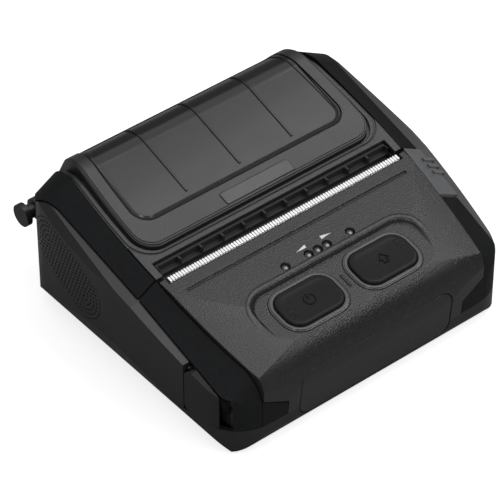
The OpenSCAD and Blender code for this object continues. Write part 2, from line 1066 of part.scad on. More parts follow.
// Board under the control panel.
module key_board() {
  placed() color([0.05, 0.25, 0.13])
    on_panel(-40)
      translate([0, 0, -board_drop]) {
        pad_block(76, 33, 1.2, 2);
        for (x = light_x)
          translate([x - 1, 10.4, 1.1])
            cube([2, 1.6, 0.8]);
        for (s = [-1, 1])
          translate([s * button_x, -5.6, 1.1])
            cylinder(d = 5, h = 0.9);
      }
}

// Closed box that holds the battery pack, open to the underside.
module battery_bay() {
  placed() color([0.1, 0.1, 0.1]) {
    translate([0, battery_y, 0])
      difference() {
        intersection() {
          translate([0, 0, base_z + wall])
            pad_block(battery_w + 3.8, battery_l + 3.8, battery_h + 0.2, 4);
          translate([0, -battery_y, 0])
            base_form(wall + 0.3);
        }
        translate([0, 0, -1])
          pad_block(battery_w + 2 * running, battery_l + 2 * running, battery_h + 2.6, 3);
        // Slots of the latch tongue and the contacts.
        translate([-5.3, battery_l / 2 - 1, 0])
          cube([10.6, 5, base_z + wall + 2.6]);
        translate([13.4, battery_l / 2 - 3, battery_h])
          cube([14.8, 2.6, 5]);
      }
    for (x = [-33, 33], y = [-56, -27])
      translate([x, y, base_z + wall + battery_h])
        cylinder(d = 5, h = 2.4);
  }
}

// Battery pack with its finger lip.
module battery_pack() {
  placed() color([0.12, 0.12, 0.13])
    difference() {
      intersection() {
        translate([0, battery_y, base_z])
          pad_block(battery_w, battery_l, battery_h, 2.6);
        base_form(0.2);
      }
      for (k = [-2 : 2])
        translate([-12, battery_y - 10 + 3 * k, 0])
          cube([24, 1.4, base_z + 0.9]);
    }
}

// Sliding latch that keeps the battery pack in.
module battery_latch() {
  placed() color([0.2, 0.2, 0.21]) {
    block([-8, -20.9, 3.2], [8, -15.4, 5.4]);
    block([-5, -22.8, 3.6], [5, -20.8, 5.4]);
    block([-6, -20.4, 1.2], [6, -19, 3.3]);
    block([-6, -18.2, 1.2], [6, -16.8, 3.3]);
  }
}

// Spring contacts between the battery pack and the main board.
module battery_contacts() {
  placed() color([0.8, 0.65, 0.3])
    for (k = [-1.5 : 1.5])
      translate([20 + k * 4, battery_y + battery_l / 2 - 2.4, base_z + battery_h + 0.4])
        cube([1.6, 1.6, wall + 2]);
}

// Main electronics board.
module main_board() {
  placed() color([0.05, 0.22, 0.12])
    translate([0, 0, base_z + wall + battery_h + 2.4])
      difference() {
        block([-39, 5.6 - front_y, 0], [54, -24, 1.6]);
        block([-60, 3.6 - front_y, -1], [-36, 7 - front_y, 3]);
      }
}

// Chips and connectors on the main board.
module board_parts() {
  placed() color([0.09, 0.09, 0.09])
    translate([0, 0, base_z + wall + battery_h + 4]) {
      block([-12, -46, 0], [2, -32, 1.2]);
      block([10, -44, 0], [20, -36, 1]);
      block([-30, -34, 0], [-18, -27, 2.2]);
      block([34, -46, 0], [42, -40, 1.4]);
      for (k = [0 : 3])
        translate([24 + 5.4 * k, -29, 0])
          cylinder(d = 4, h = 3);
    }
}

// Shielded wireless module.
module wireless_module() {
  placed() color([0.7, 0.7, 0.68])
    translate([0, 0, base_z + wall + battery_h + 4])
      block([28, -58, 0], [44, -48, 1.8]);
}

// Steel chassis of the print mechanism.
module print_chassis() {
  placed() color([0.6, 0.61, 0.62])
    difference() {
      union() {
        for (s = [-1, 1])
          translate([s * (side_plate_x + side_plate_t / 2), 0, 0])
            rotate([90, 0, 90])
              linear_extrude(side_plate_t, center = true)
                polygon([
                  [-19.5, base_z + wall], [7, base_z + wall], [7, 34], [4, 43.4],
                  [-4.6, 43.4], [-6, 45.2], [-13.6, 44], [-19.5, 36]
                ]);
        // Motor flange on the left plate.
        translate([-side_plate_x - side_plate_t, 0, 0])
          rotate([90, 0, 90])
            linear_extrude(side_plate_t)
              translate([pinion_c[0], pinion_c[1]])
                pad(flange_w, flange_h, 5);
        block([-side_plate_x - tiny, -19.5, 12], [side_plate_x + tiny, 0.8, 13]);
        block([-side_plate_x - tiny, -19.5, 12], [side_plate_x + tiny, -18.5, 32]);
      }
      // Slots that take the platen bushings from above.
      translate([0, platen_y, platen_z])
        rod_x(8 + 2 * running, -70, 70);
      translate([0, platen_y, platen_z])
        rotate([-7.5, 0, 0])
          translate([-70, -4 - running, 0])
            cube([140, 8 + 2 * running, 30]);
      translate([0, latch_c[0], latch_c[1]])
        rod_x(4 + 2 * 0.05, -70, 70);
      translate([0, pinion_c[0], pinion_c[1]])
        rod_x(8.6, -70, -50);
      for (c = [idler_c, relay_c])
        translate([0, c[0], c[1]])
          rod_x(3, -70, -50);
    }
}

// Fixed studs that carry the two intermediate gears.
module gear_studs() {
  placed() color([0.75, 0.75, 0.76])
    for (c = [idler_c, relay_c])
      translate([0, c[0], c[1]]) {
        rod_x(3, gear_x - 0.9, -side_plate_x);
        rod_x(5, gear_x - 1.5, -gear_t - 61.9);
      }
}

// Feed motor bolted inside the left plate.
module feed_motor() {
  placed() color([0.3, 0.3, 0.31])
    translate([0, pinion_c[0], pinion_c[1]]) {
      rod_x(motor_d, -side_plate_x, -43);
      difference() {
        rod_x(8, -side_plate_x - 1.4, -side_plate_x + 1);
        rod_x(2.3, -70, -40);
      }
    }
}

// Pinion on the motor shaft.
module motor_pinion() {
  placed() color([0.85, 0.75, 0.45])
    gear(pinion_c, pinion_teeth, pinion_turn, 0);
  placed() color([0.7, 0.7, 0.7])
    translate([0, pinion_c[0], pinion_c[1]])
      rod_x(2, gear_x - 0.4, -58.5);
}

// First intermediate gear under the platen gear.
module idler_gear() {
  placed() color([0.9, 0.9, 0.88])
    gear(idler_c, idler_teeth, idler_turn, 3.1);
}

// Second intermediate gear beside the motor pinion.
module relay_gear() {
  placed() color([0.9, 0.9, 0.88])
    gear(relay_c, relay_teeth, relay_turn, 3.1);
}

// Aluminium heat sink that carries the print head.
module head_sink() {
  placed() color([0.66, 0.67, 0.69])
    difference() {
      union() {
        block([-54, -11.8, 22], [54, -9, 42.6]);
        for (x = [-54, 51])
          block([x, -13.6, 14.4], [x + 3, -9.4, 23]);
      }
      translate([0, head_pivot_y, head_pivot_z])
        rod_x(2.1, -70, 70);
    }
}

// Thin ceramic print head with its raised heater line.
module print_head() {
  placed() color([0.85, 0.83, 0.78]) {
    block([-53, -9, 25], [53, -8.4, 42.6]);
    translate([0, -8.5, platen_z])
      rod_x(0.5, -52, 52);
  }
}

// Rod on which the print head swings.
module head_pivot() {
  placed() color([0.75, 0.75, 0.76])
    translate([0, head_pivot_y, head_pivot_z])
      rod_x(2, -side_plate_x, side_plate_x);
}

// Spring pressing the print head against the platen.
module head_spring(x) {
  turns = 5;
  steps = 20;
  sides = 8;
  r = 2.1;
  w = 0.3;
  y0 = -18.2;
  len = 6.1;
  n = turns * steps;
  rings = [
    for (i = [0 : n])
      let (
        a = 360 * i / steps,
        c = [x + r * cos(a), y0 + len * i / n, 36 + r * sin(a)]
      )
      [
        for (k = [0 : sides - 1])
          let (b = 360 * k / sides)
            c + w * cos(b) * [cos(a), 0, sin(a)] + w * sin(b) * [0, 1, 0]
      ]
  ];
  polyhedron(
    points = [for (g = rings) each g],
    faces = concat(
      [[for (k = [0 : sides - 1]) k]],
      [
        for (i = [0 : n - 1], k = [0 : sides - 1])
          [
            i * sides + k, (i + 1) * sides + k,
            (i + 1) * sides + (k + 1) % sides, i * sides + (k + 1) % sides
          ]
      ],
      [[for (k = [sides - 1 : -1 : 0]) n * sides + k]]
    )
  );
}

// Two head springs.
module head_springs() {
  placed() color([0.75, 0.75, 0.76])
    for (x = [-30, 30])
      head_spring(x);
}

// Rubber roller that draws the paper.
module platen_roller() {
  placed() color([0.06, 0.06, 0.06])
    translate([0, platen_y, platen_z])
      difference() {
        rod_x(platen_d, -platen_x, platen_x);
        rod_x(6, -80, 80);
      }
}

// Steel shaft of the roller.
module platen_shaft() {
  placed() color([0.75, 0.76, 0.77])
    translate([0, platen_y, platen_z]) {
      rod_x(6, -platen_x, platen_x);
      rod_x(4, gear_x - 0.4, 61.6);
    }
}

// Drive gear on the left end of the roller shaft.
module platen_gear() {
  placed() color([0.9, 0.9, 0.88])
    gear([platen_y, platen_z], platen_teeth, 0, 4);
}

// Plain bearings that drop into the chassis slots.
module platen_bushings() {
  placed() color([0.85, 0.82, 0.7])
    for (s = [-1, 1])
      translate([s * 59, platen_y, platen_z])
        difference() {
          rod_x(8, -1, 0.8);
          rod_x(4.1, -5, 5);
        }
}

// Latch hooks on their common shaft.
module latch_hooks() {
  placed() color([0.62, 0.63, 0.64]) {
    translate([0, latch_c[0], latch_c[1]])
      rod_x(4, -61.4, 61.4);
    for (s = [-1, 1])
      translate([s * 60.6, 0, 0])
        rotate([90, 0, 90])
          linear_extrude(1.2, center = true)
            difference() {
              union() {
                translate(latch_c)
                  circle(r = 3.6);
                polygon([
                  [0.6, 24], [6.6, 24], [6.4, 40], [4.4, 44.2], [1.4, 44.2],
                  [0.8, 41.2], [1.7, 38.6], [1.4, 34]
                ]);
              }
              translate([platen_y, platen_z])
                circle(r = 2.5);
            }
  }
}

// Trough under the paper roll.
module roll_cradle() {
  placed() color([0.1, 0.1, 0.105])
    difference() {
      intersection() {
        translate([0, roll_y, roll_z])
          rod_x(roll_bay_d + 2.6, -57.8, 57.8);
        block([-60, 5.8, base_z + wall], [60, 62.4, 23]);
      }
      translate([0, roll_y, roll_z])
        rod_x(roll_bay_d, -56.6, 56.6);
      block([-3, roll_y - 3.5, 0], [3, roll_y + 3.5, 10]);
    }
}

// Reflective paper sensor in the trough.
module paper_sensor() {
  placed() color([0.05, 0.05, 0.05])
    block([-2.7, roll_y - 3.2, base_z + wall], [2.7, roll_y + 3.2, 4.4]);
}

// Lid shell with the seat of the raised panel.
module lid_shell() {
  placed() color([0.08, 0.08, 0.085])
    difference() {
      union() {
        difference() {
          intersection() {
            lid_form(0);
            inside_seam(-7.2, 80);
            block([-100, -100, lid_low_z], [100, 100, 90]);
          }
          lid_form(wall);
          block([-100, -20, 20], [100, -5, 46.6]);
        }
        for (s = [[-60, -42], [-19, 19], [42, 60]])
          lid_knuckle(s[0], s[1]);
      }
      block([-57.4, -20, 30], [57.4, -0.6, 90]);
      difference() {
        lid_panel_zone(1.1);
        lid_form(1.2);
      }
      // Fine line round the raised panel.
      difference() {
        seam_zone(seam_x + 0.6, lid_panel_y - 2.3, 90, 12);
        seam_zone(lid_panel_x + 2.8, lid_panel_y - 1.8, 90, 10.6);
        lid_form(0.5);
      }
      lid_panel_zone(-3);
      for (s = [-1, 1])
        translate([0, hinge_y, hinge_z])
          rod_x(hinge_d + 1, min(s * 19.4, s * 41.6), max(s * 19.4, s * 41.6));
      translate([0, hinge_y, hinge_z])
        rod_x(hinge_pin_d + 0.1, -80, 80);
    }
}

// Piece of the hinge barrel with its web to the lid.
module lid_knuckle(x0, x1) {
  translate([0, hinge_y, hinge_z])
    rod_x(hinge_d, x0, x1);
  block([x0, rear_y - 2, hinge_z - 2.6], [x1, hinge_y, hinge_z + 3.6]);
}

// Upright zone of the raised panel, grown by g.
module lid_panel_zone(g) {
  seam_zone(lid_panel_x + g, lid_panel_y - g, 86 + g, 9 + g);
}

// Upright zone of the window, grown by g.
module window_zone(g) {
  seam_zone(window_x + g, window_front_y - g, window_rear_y + g, 7 + g);
}

// Everything above the lid shell, used to clear the underside of thin covers.
module above_lid() {
  block([-100, 0, 46], [100, 100, 90]);
}

// Raised panel around the window.
module lid_panel() {
  placed() color([0.085, 0.085, 0.09])
    difference() {
      for (k = [[0, -1], [0.4, -0.4], [1, 0]])
        intersection() {
          across(crest_pts, crest_radii, k[0]);
          lid_panel_zone(k[1]);
        }
      lid_form(1);
      intersection() {
        across(crest_pts, crest_radii, 2.2);
        lid_panel_zone(-2.2);
      }
      difference() {
        window_zone(seam_gap);
        across(crest_pts, crest_radii, 1.7);
      }
      window_zone(-2.4);
      name_plate_zone(0.2, 5);
    }
}

// Zone of the name plate in front of the window, grown by g.
module name_plate_zone(g, h) {
  on_lid(name_plate_y)
    translate([0, 0, -0.6])
      pad_block(33 + 2 * g, 5.4 + 2 * g, h, 0.8 + g);
}

// Smoked window with three fine ridges.
module lid_window() {
  placed() color([0.2, 0.21, 0.22])
    difference() {
      intersection() {
        above_lid();
        union() {
          intersection() {
            across(crest_pts, crest_radii, 0.3);
            window_zone(0);
          }
          for (x = [-26, 0, 26])
            intersection() {
              across(crest_pts, crest_radii, 0.2);
              block([x - 0.4, window_front_y + 4, 40], [x + 0.4, window_rear_y - 3, 90]);
            }
        }
      }
      across(crest_pts, crest_radii, 1.65);
      difference() {
        window_zone(-window_border);
        across(crest_pts, crest_radii, 0.7);
        for (x = [-26, 0, 26])
          block([x - 0.4, window_front_y + 4, 40], [x + 0.4, window_rear_y - 3, 90]);
      }
    }
}

// Bare name plate.
module name_plate() {
  placed() color([0.3, 0.3, 0.31])
    name_plate_zone(0, 0.9);
}

// Ribbed strip over which the paper leaves.
module exit_guide() {
  placed() color([0.05, 0.05, 0.055])
    difference() {
      block([-56.6, -4.1, 45.2], [56.6, -0.9, 49.3]);
      for (k = [0 : 10])
        block([-56.2 + 10.3 * k, -5, 46.6], [-56.2 + 10.3 * k + 9.4, -2, 60]);
    }
}

// Inner frame of the lid that carries the roller.
module lid_frame() {
  placed() color([0.12, 0.12, 0.125])
    difference() {
      union() {
        block([-57.9, 4.6, 45.8], [57.9, 7.6, 49]);
        block([-57.9, -0.9, 45.2], [57.9, 4.8, 48.2]);
        for (s = [-1, 1])
          block([min(s * 56.8, s * 57.9), -6.4, 35], [max(s * 56.8, s * 57.9), 4.8, 46.2]);
      }
      translate([0, platen_y, platen_z])
        rod_x(4.1, -80, 80);
    }
}

// Soft rear shoulder of the lid, right side.
module grip() {
  difference() {
    intersection() {
      shoulder_form(0);
      outside_seam(-6.9, 80, seam_gap);
      block([0, -20, lid_low_z], [100, 80, 90]);
    }
    shoulder_form(wall);
    arch_cut(-80);
  }
}

// Soft shoulder of the lid on the operator's left.
module left_grip() {
  placed() color([0.13, 0.14, 0.15])
    mirror([1, 0, 0])
      grip();
}

// Soft shoulder of the lid on the operator's right.
module right_grip() {
  placed() color([0.13, 0.14, 0.15])
    grip();
}

// Rear cover below the lid with the fixed knuckles of the hinge.
module rear_cover() {
  placed() color([0.08, 0.08, 0.085])
    difference() {
      union() {
        difference() {
          intersection() {
            base_form(0);
            block([-100, 55, split_z + 0.02], [100, 80, lid_low_z - 0.6]);
          }
          base_form(wall);
          both_sides()
            arch_cut(-80);
        }
        for (s = [-1, 1]) {
          translate([0, hinge_y, hinge_z])
            rod_x(hinge_d, min(s * 20, s * 41), max(s * 20, s * 41));
          block([s * 30.5 - 10.5, rear_y - 2, 19], [s * 30.5 + 10.5, hinge_y + 2.4, lid_low_z - 0.8]);
          block([s * 30.5 - 10.5, rear_y + 1, 19], [s * 30.5 + 10.5, hinge_y + 2.4, hinge_z - 2]);
        }
      }
      translate([0, hinge_y, hinge_z])
        rod_x(hinge_pin_d, -80, 80);
    }
}

// Pin through all the knuckles.
module hinge_pin() {
  placed() color([0.75, 0.75, 0.76])
    translate([0, hinge_y, hinge_z])
      rod_x(hinge_pin_d, -65, 65);
}

// Round caps over the ends of the hinge barrel.
module hinge_caps() {
  placed() color([0.11, 0.11, 0.115])
    for (s = [-1, 1])
      translate([0, hinge_y, hinge_z])
        difference() {
          union() {
            rod_x(hinge_d + 0.6, min(s * 64, s * 66.4), max(s * 64, s * 66.4));
            rod_x(6, min(s * 60.3, s * 64.1), max(s * 60.3, s * 64.1));
          }
          rod_x(hinge_pin_d, -65.01, 65.01);
        }
}

// Rubber feet.
module feet() {
  placed() color([0.04, 0.04, 0.04])
    for (x = [-1, 1], y = [-50, 46])
      translate([x * foot_x, y, 0])
        cylinder(d = 10, h = base_z + 0.8);
}

// Screws that close the bottom case.
module case_screws() {
  placed() color([0.3, 0.3, 0.31])
    for (p = screw_spots)
      translate([p[0], p[1], screw_seat_z - 1.4])
        difference() {
          union() {
            cylinder(d = screw_head_d, h = 1.4);
            cylinder(d = screw_d, h = screw_top - screw_seat_z + 1.2);
          }
          translate([0, 0, -0.5])
            cube([3.4, 0.6, 1.6], center = true);
          translate([0, 0, -0.5])
            cube([0.6, 3.4, 1.6], center = true);
        }
}

bottom_case();
front_case();
front_plate();
left_bumper();
right_bumper();
left_side_cover();
right_side_cover();
left_grille();
right_grille();
port_cover();
port_panel();
power_jack();
data_socket();
tear_bar();
button_bezels();
power_button();
feed_button();
light_pipes();
key_board();
main_board();
board_parts();
wireless_module();
battery_bay();
battery_pack();
battery_latch();
battery_contacts();
print_chassis();
gear_studs();
feed_motor();
motor_pinion();
idler_gear();
relay_gear();
head_sink();
print_head();
head_pivot();
head_springs();
platen_roller();
platen_shaft();
platen_gear();
platen_bushings();
latch_hooks();
release_lever();
roll_cradle();
paper_sensor();
lid_shell();
lid_panel();
lid_window();
name_plate();
exit_guide();
lid_frame();
left_grip();
right_grip();
rear_cover();
hinge_pin();
hinge_caps();
feet();
case_screws();
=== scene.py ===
"""Portable label printer: finishes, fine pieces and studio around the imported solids."""

import json
import math

import bmesh
import bpy
from bpy.props import BoolProperty, FloatProperty, FloatVectorProperty, IntProperty, PointerProperty
from mathutils import Matrix, Vector


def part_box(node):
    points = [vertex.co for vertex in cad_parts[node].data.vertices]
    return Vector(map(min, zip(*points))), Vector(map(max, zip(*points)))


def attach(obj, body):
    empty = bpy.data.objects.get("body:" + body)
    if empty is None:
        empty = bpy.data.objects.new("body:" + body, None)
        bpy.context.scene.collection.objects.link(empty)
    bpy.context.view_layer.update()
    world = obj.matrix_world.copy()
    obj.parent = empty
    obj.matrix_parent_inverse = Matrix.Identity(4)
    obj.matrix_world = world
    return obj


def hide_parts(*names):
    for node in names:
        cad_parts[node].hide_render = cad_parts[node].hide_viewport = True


bl_info = {
    "name": "Portable Label Printer",
    "version": (1, 0, 0),
    "blender": (4, 5, 0),
    "location": "3D View > Sidebar > Printer",
    "description": "Dresses the printer in moulded plastic, rubber, steel and smoked glass",
    "category": "Object",
}

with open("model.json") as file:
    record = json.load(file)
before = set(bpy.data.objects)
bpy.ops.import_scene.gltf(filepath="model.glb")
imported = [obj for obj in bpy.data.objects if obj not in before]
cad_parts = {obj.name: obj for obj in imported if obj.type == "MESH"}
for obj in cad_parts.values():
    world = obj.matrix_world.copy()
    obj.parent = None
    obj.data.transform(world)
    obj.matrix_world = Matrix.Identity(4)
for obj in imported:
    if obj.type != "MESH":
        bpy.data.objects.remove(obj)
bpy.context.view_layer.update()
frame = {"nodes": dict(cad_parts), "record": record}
MM = 0.001

# Places on the printer, in millimetres, as the solids have them.
# Y counts from the solids' drawing line, which lies MID_Y in front of the footprint's middle.
PANEL_Z = 48.9
PANEL_Y = -8.5
PANEL_TILT = math.radians(10.2)
HINGE_Y = 71.6
MID_Y = HINGE_Y - (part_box("hinge_pin")[0].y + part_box("hinge_pin")[1].y) / 2 / MM

# Tear bar: its length and the number of its teeth.
TEAR_LENGTH = 113.4
TEAR_TEETH = 90

# Window: the groove just inside its rounded outline.
WINDOW_HALF_X = 50.9
WINDOW_FRONT_Y = 13.8
WINDOW_REAR_Y = 64.0
WINDOW_CORNER = 7
GROOVE_INSET = 0.8

# Push buttons: the cap, its two shallow dishes (inset, depth), its stem and its grip ridges.
KEY_X = 18.2
KEY_Y = -45.6
CAP_BOTTOM = -3.9
CAP_HEIGHT = 3.65
DISHES = ((1.5, -0.12), (1.6, -0.06))
STEM_R = 2
STEM_LENGTH = 3.8
STEM_MIDDLE = -5.7
RIDGE_SIZE = (2.3, 0.8, 0.34)
RIDGE_CORNER = 0.36
RIDGE_EDGE = 0.16
RIDGE_PITCH = 2.0
RIDGE_INSET = 3.6
RIDGE_Y = 2.2
RIDGE_DOWN = -0.2
RIDGE_Z = -0.5
SIGN_Z = -0.42

# Signs on the push buttons: a broken ring with a bar, and the corners of a hollow arrow.
RING_R = 2.35
RING_TUBE_R = 0.26
RING_START = -35
RING_TURN = -290
BAR_SIZE = (0.5, 2.5, 0.26)
BAR_CORNER = 0.2
BAR_EDGE = 0.06
BAR_Y = 1.6
ARROW = [
    (-2.2, -0.3), (0, 2.4), (2.2, -0.3), (1.0, -0.3), (1.0, -2.2), (-1.0, -2.2), (-1.0, -0.3)]
ARROW_WIDTH = 0.36
ARROW_HEIGHT = 0.3

# Status lights and the two printed wedges beside them, whose corners lie on the panel.
LIGHT_Y = -28.7
LIGHT_X = (-15.9, -4.5, 0.0, 4.5, 15.9)
LENS_R = 0.85
LENS_CUT = 0.2
LENS_FORWARD = 0.35
LENS_Z = -1.15
WEDGE_Y = -25.2
WEDGES = (
    ((-8.34, -25.8), (-3.4, -25.96), (-3.1, -24.4)),
    ((9.4, -25.45), (4.35, -24.2), (4.2, -25.9)),
)
PAINT_LIFT = 0.01
PAINT_HEIGHT = 0.03

# Control field: its outline, and the bend and crown of the cover that it runs over.
FIELD_X = 40.4
FIELD_REAR_Y = -33.2
FIELD_CORNER = 9.0
FIELD_PAST_BEND = 9.5
LEG_ROWS = 26
CORNER_ROWS = 12
BEND_START_Y = -48.8
BEND_R = 20.0
CROWN_R = 350.0
CROWN_RISE = 6.4
CROWN_SLOPE = math.tan(math.radians(17.8))
CROWN_SAG = 1.05

# Rim of the field: (distance outward from the outline, height over the panel) of its section.
RIM_PROFILE = (
    (2.7, 0.0), (2.4, 0.09), (2.0, 0.16), (1.5, 0.14), (1.0, 0.0), (0.5, -0.3), (0.1, -0.75),
    (-0.3, -1.3), (-0.6, -1.72), (-0.9, -1.93), (-1.2, -1.99),
)
RIM_LIFT = 0.012
RIM_THICKNESS = 0.5
RIM_FADE = 2

# Studio, in metres: (name, direction from the printer, distance, width and height, the power's name
# in PrinterStudio, whether the long side lies level).
FLOOR_HALF = 6.0
CARD_RING_BOTTOM_R = 1.9
CARD_RING_TOP_R = 1.5
CARD_RING_HEIGHT = 1.25
CARD_RING_Z = 0.64
CARD_DISC_R = 1.85
CARD_DISC_Z = 0.0002
LAMP_AIM_Z = 0.04
LAMPS = (
    ("top_light", (0.473, -0.04, 0.87), 1.05, (0.8, 0.46), "key_power", False),
    ("fill_light", (-0.62, -0.6, 0.75), 1.3, (0.34, 0.34), "fill_power", False),
    ("strip_light", (0.474, -0.663, 0.58), 0.9, (0.9, 0.04), "strip_power", True),
)

# Camera, fitted to the photograph: its side and rise in degrees, its distance, the height it looks
# at and its shift right and up in millimetres, and then the scale and shift that fit it to the
# solids. The photograph hardly fixes the rise, which was chosen for the printer's expected depth.
CAMERA_SIDE = -39.2289
CAMERA_RISE = 41.5
CAMERA_DISTANCE = 1206.7414
CAMERA_AIM_Z = 25
CAMERA_RIGHT = -10.7942
CAMERA_UP = -4.2188
CAMERA_SCALE = 0.98458
CAMERA_SHIFT = (0, -5.0 - MID_Y, 9.2)
FOCAL_PIXELS = 3092.156
PHOTO_PIXELS = 500
SENSOR_MM = 36.0


def on_panel(x, y, lift):
    """Matrix of a place on the control panel, lifted off its surface."""
    z = PANEL_Z + math.tan(PANEL_TILT) * (y - PANEL_Y)
    spot = Matrix.Translation((x * MM, (y - MID_Y) * MM, z * MM))
    tilt = Matrix.Rotation(PANEL_TILT, 4, "X")
    return spot @ tilt @ Matrix.Translation((0, 0, lift * MM))


# ---------------------------------------------------------------- sizes and colours


class PrinterLook(bpy.types.PropertyGroup):
    cover_color: FloatVectorProperty(
        name="Cover colour", description="Colour of the moulded covers",
        subtype="COLOR", size=3, min=0, max=1, default=(0.0105, 0.0105, 0.011))
    panel_color: FloatVectorProperty(
        name="Panel colour", description="Colour of the control panel and the lid",
        subtype="COLOR", size=3, min=0, max=1, default=(0.0115, 0.0115, 0.0118))
    rubber_color: FloatVectorProperty(
        name="Shoulder colour", description="Colour of the soft shoulders",
        subtype="COLOR", size=3, min=0, max=1, default=(0.0085, 0.0089, 0.0096))
    lever_color: FloatVectorProperty(
        name="Lever colour", description="Colour of the lid lever",
        subtype="COLOR", size=3, min=0, max=1, default=(0.085, 0.087, 0.09))
    sign_color: FloatVectorProperty(
        name="Sign colour", description="Colour of the printed signs",
        subtype="COLOR", size=3, min=0, max=1, default=(0.62, 0.62, 0.61))
    window_color: FloatVectorProperty(
        name="Window colour", description="Tint of the smoked window",
        subtype="COLOR", size=3, min=0, max=1, default=(0.01, 0.01, 0.0104))
    grain: FloatProperty(
        name="Grain size", description="Width of one bump of the moulded texture",
        subtype="DISTANCE", unit="LENGTH", min=0.0001, max=0.002, default=0.00042)
    soft_edge: FloatProperty(
        name="Edge radius", description="Radius that moulded edges seem to have",
        subtype="DISTANCE", unit="LENGTH", min=0.0, max=0.001, default=0.00028)
    # Edge amount: it lowers the roughness of rubbed edges and also paints them lighter as a painted
    # highlight.
    wear_and_glint: FloatProperty(
        name="Edge wear", description="How much the edges are polished by handling",
        subtype="FACTOR", min=0, max=1, default=0.35)


class PrinterKeys(bpy.types.PropertyGroup):
    width: FloatProperty(
        name="Key width", description="Width of a push button",
        subtype="DISTANCE", unit="LENGTH", default=0.027)
    length: FloatProperty(
        name="Key length", description="Length of a push button",
        subtype="DISTANCE", unit="LENGTH", default=0.0174)
    corner: FloatProperty(
        name="Key corner", description="Corner radius of a push button",
        subtype="DISTANCE", unit="LENGTH", default=0.0064)
    edge: FloatProperty(
        name="Key edge", description="Width of the bright bevel round a push button",
        subtype="DISTANCE", unit="LENGTH", default=0.0009)
    arc_steps: IntProperty(
        name="Corner steps", description="Facets of one rounded corner", min=4, max=32, default=14)


class PrinterStudio(bpy.types.PropertyGroup):
    key_power: FloatProperty(
        name="Top light", description="Power of the large light over the printer",
        unit="POWER", min=0, default=2.35)
    fill_power: FloatProperty(
        name="Fill light", description="Power of the light beside the camera",
        unit="POWER", min=0, default=1.5)
    strip_power: FloatProperty(
        name="Strip light", description="Power of the narrow light that draws the front bend",
        unit="POWER", min=0, default=1.25)
    dome: FloatProperty(
        name="Dome", description="Strength of the pale room round the printer", min=0, default=0.6)
    floor_lift: FloatProperty(
        name="Floor lift", description="Paleness added to the floor as the camera sees it",
        min=0, max=1, default=0.7)
    use_cards: BoolProperty(
        name="Dark cards", description="Stand dark cards that only the printer's gloss shows",
        default=True)


def look():
    return bpy.context.scene.printer_look


def keys():
    return bpy.context.scene.printer_keys


def studio():
    return bpy.context.scene.printer_studio


# ---------------------------------------------------------------- shader groups


def socket(tree, name, way, kind, default=None):
    made = tree.interface.new_socket(name, in_out=way, socket_type="NodeSocket" + kind)
    if default is not None:
        made.default_value = default


def node(tree, kind, **values):
    made = tree.nodes.new("ShaderNode" + kind)
    for name, value in values.items():
        setattr(made, name, value)
    return made


def put(tree, target, source):
    """Sets a socket from a number, a colour or another socket."""
    if isinstance(source, bpy.types.NodeSocket):
        tree.links.new(source, target)
    else:
        target.default_value = source


def maths(tree, operation, a, b=0.0, clamp=False):
    made = node(tree, "Math", operation=operation, use_clamp=clamp)
    put(tree, made.inputs[0], a)
    put(tree, made.inputs[1], b)
    return made.outputs[0]


def mixed(tree, factor, a, b):
    made = node(tree, "Mix", data_type="RGBA")
    put(tree, made.inputs["Factor"], factor)
    put(tree, made.inputs[6], a)
    put(tree, made.inputs[7], b)
    return made.outputs[2]


def spread(tree, value, low, high, from_low=0.0, from_high=1.0):
    """Maps a range of a value onto low to high."""
    made = node(tree, "MapRange")
    put(tree, made.inputs["Value"], value)
    ends = {"From Min": from_low, "From Max": from_high, "To Min": low, "To Max": high}
    for name, number in ends.items():
        made.inputs[name].default_value = number
    return made.outputs["Result"]


def noise(tree, coords, scale, detail=2.0, roughness=0.5):
    made = node(tree, "TexNoise")
    tree.links.new(coords, made.inputs["Vector"])
    put(tree, made.inputs["Scale"], scale)
    made.inputs["Detail"].default_value = detail
    made.inputs["Roughness"].default_value = roughness
    return made.outputs["Fac"]


def mould_grain_group():
    """Fine bumps of spark-eroded moulds, with slow changes of tone and gloss."""
    tree = bpy.data.node_groups.new("mould grain", "ShaderNodeTree")
    socket(tree, "Scale", "INPUT", "Float", 2400.0)
    for name in ("Height", "Tone", "Patch"):
        socket(tree, name, "OUTPUT", "Float")
    source = tree.nodes.new("NodeGroupInput")
    sink = tree.nodes.new("NodeGroupOutput")
    coords = node(tree, "TexCoord").outputs["Object"]
    cells = node(tree, "TexVoronoi", feature="SMOOTH_F1")
    tree.links.new(coords, cells.inputs["Vector"])
    tree.links.new(source.outputs["Scale"], cells.inputs["Scale"])
    cells.inputs["Smoothness"].default_value = 0.6
    fine = noise(tree, coords, maths(tree, "MULTIPLY", source.outputs["Scale"], 0.55), 3.0, 0.6)
    bumps = maths(tree, "MULTIPLY", cells.outputs["Distance"], 0.7)
    height = maths(tree, "ADD", bumps, maths(tree, "MULTIPLY", fine, 0.5))
    tree.links.new(height, sink.inputs["Height"])
    tree.links.new(noise(tree, coords, 420.0, 3.0), sink.inputs["Tone"])
    tree.links.new(noise(tree, coords, 26.0, 5.0, 0.62), sink.inputs["Patch"])
    return tree


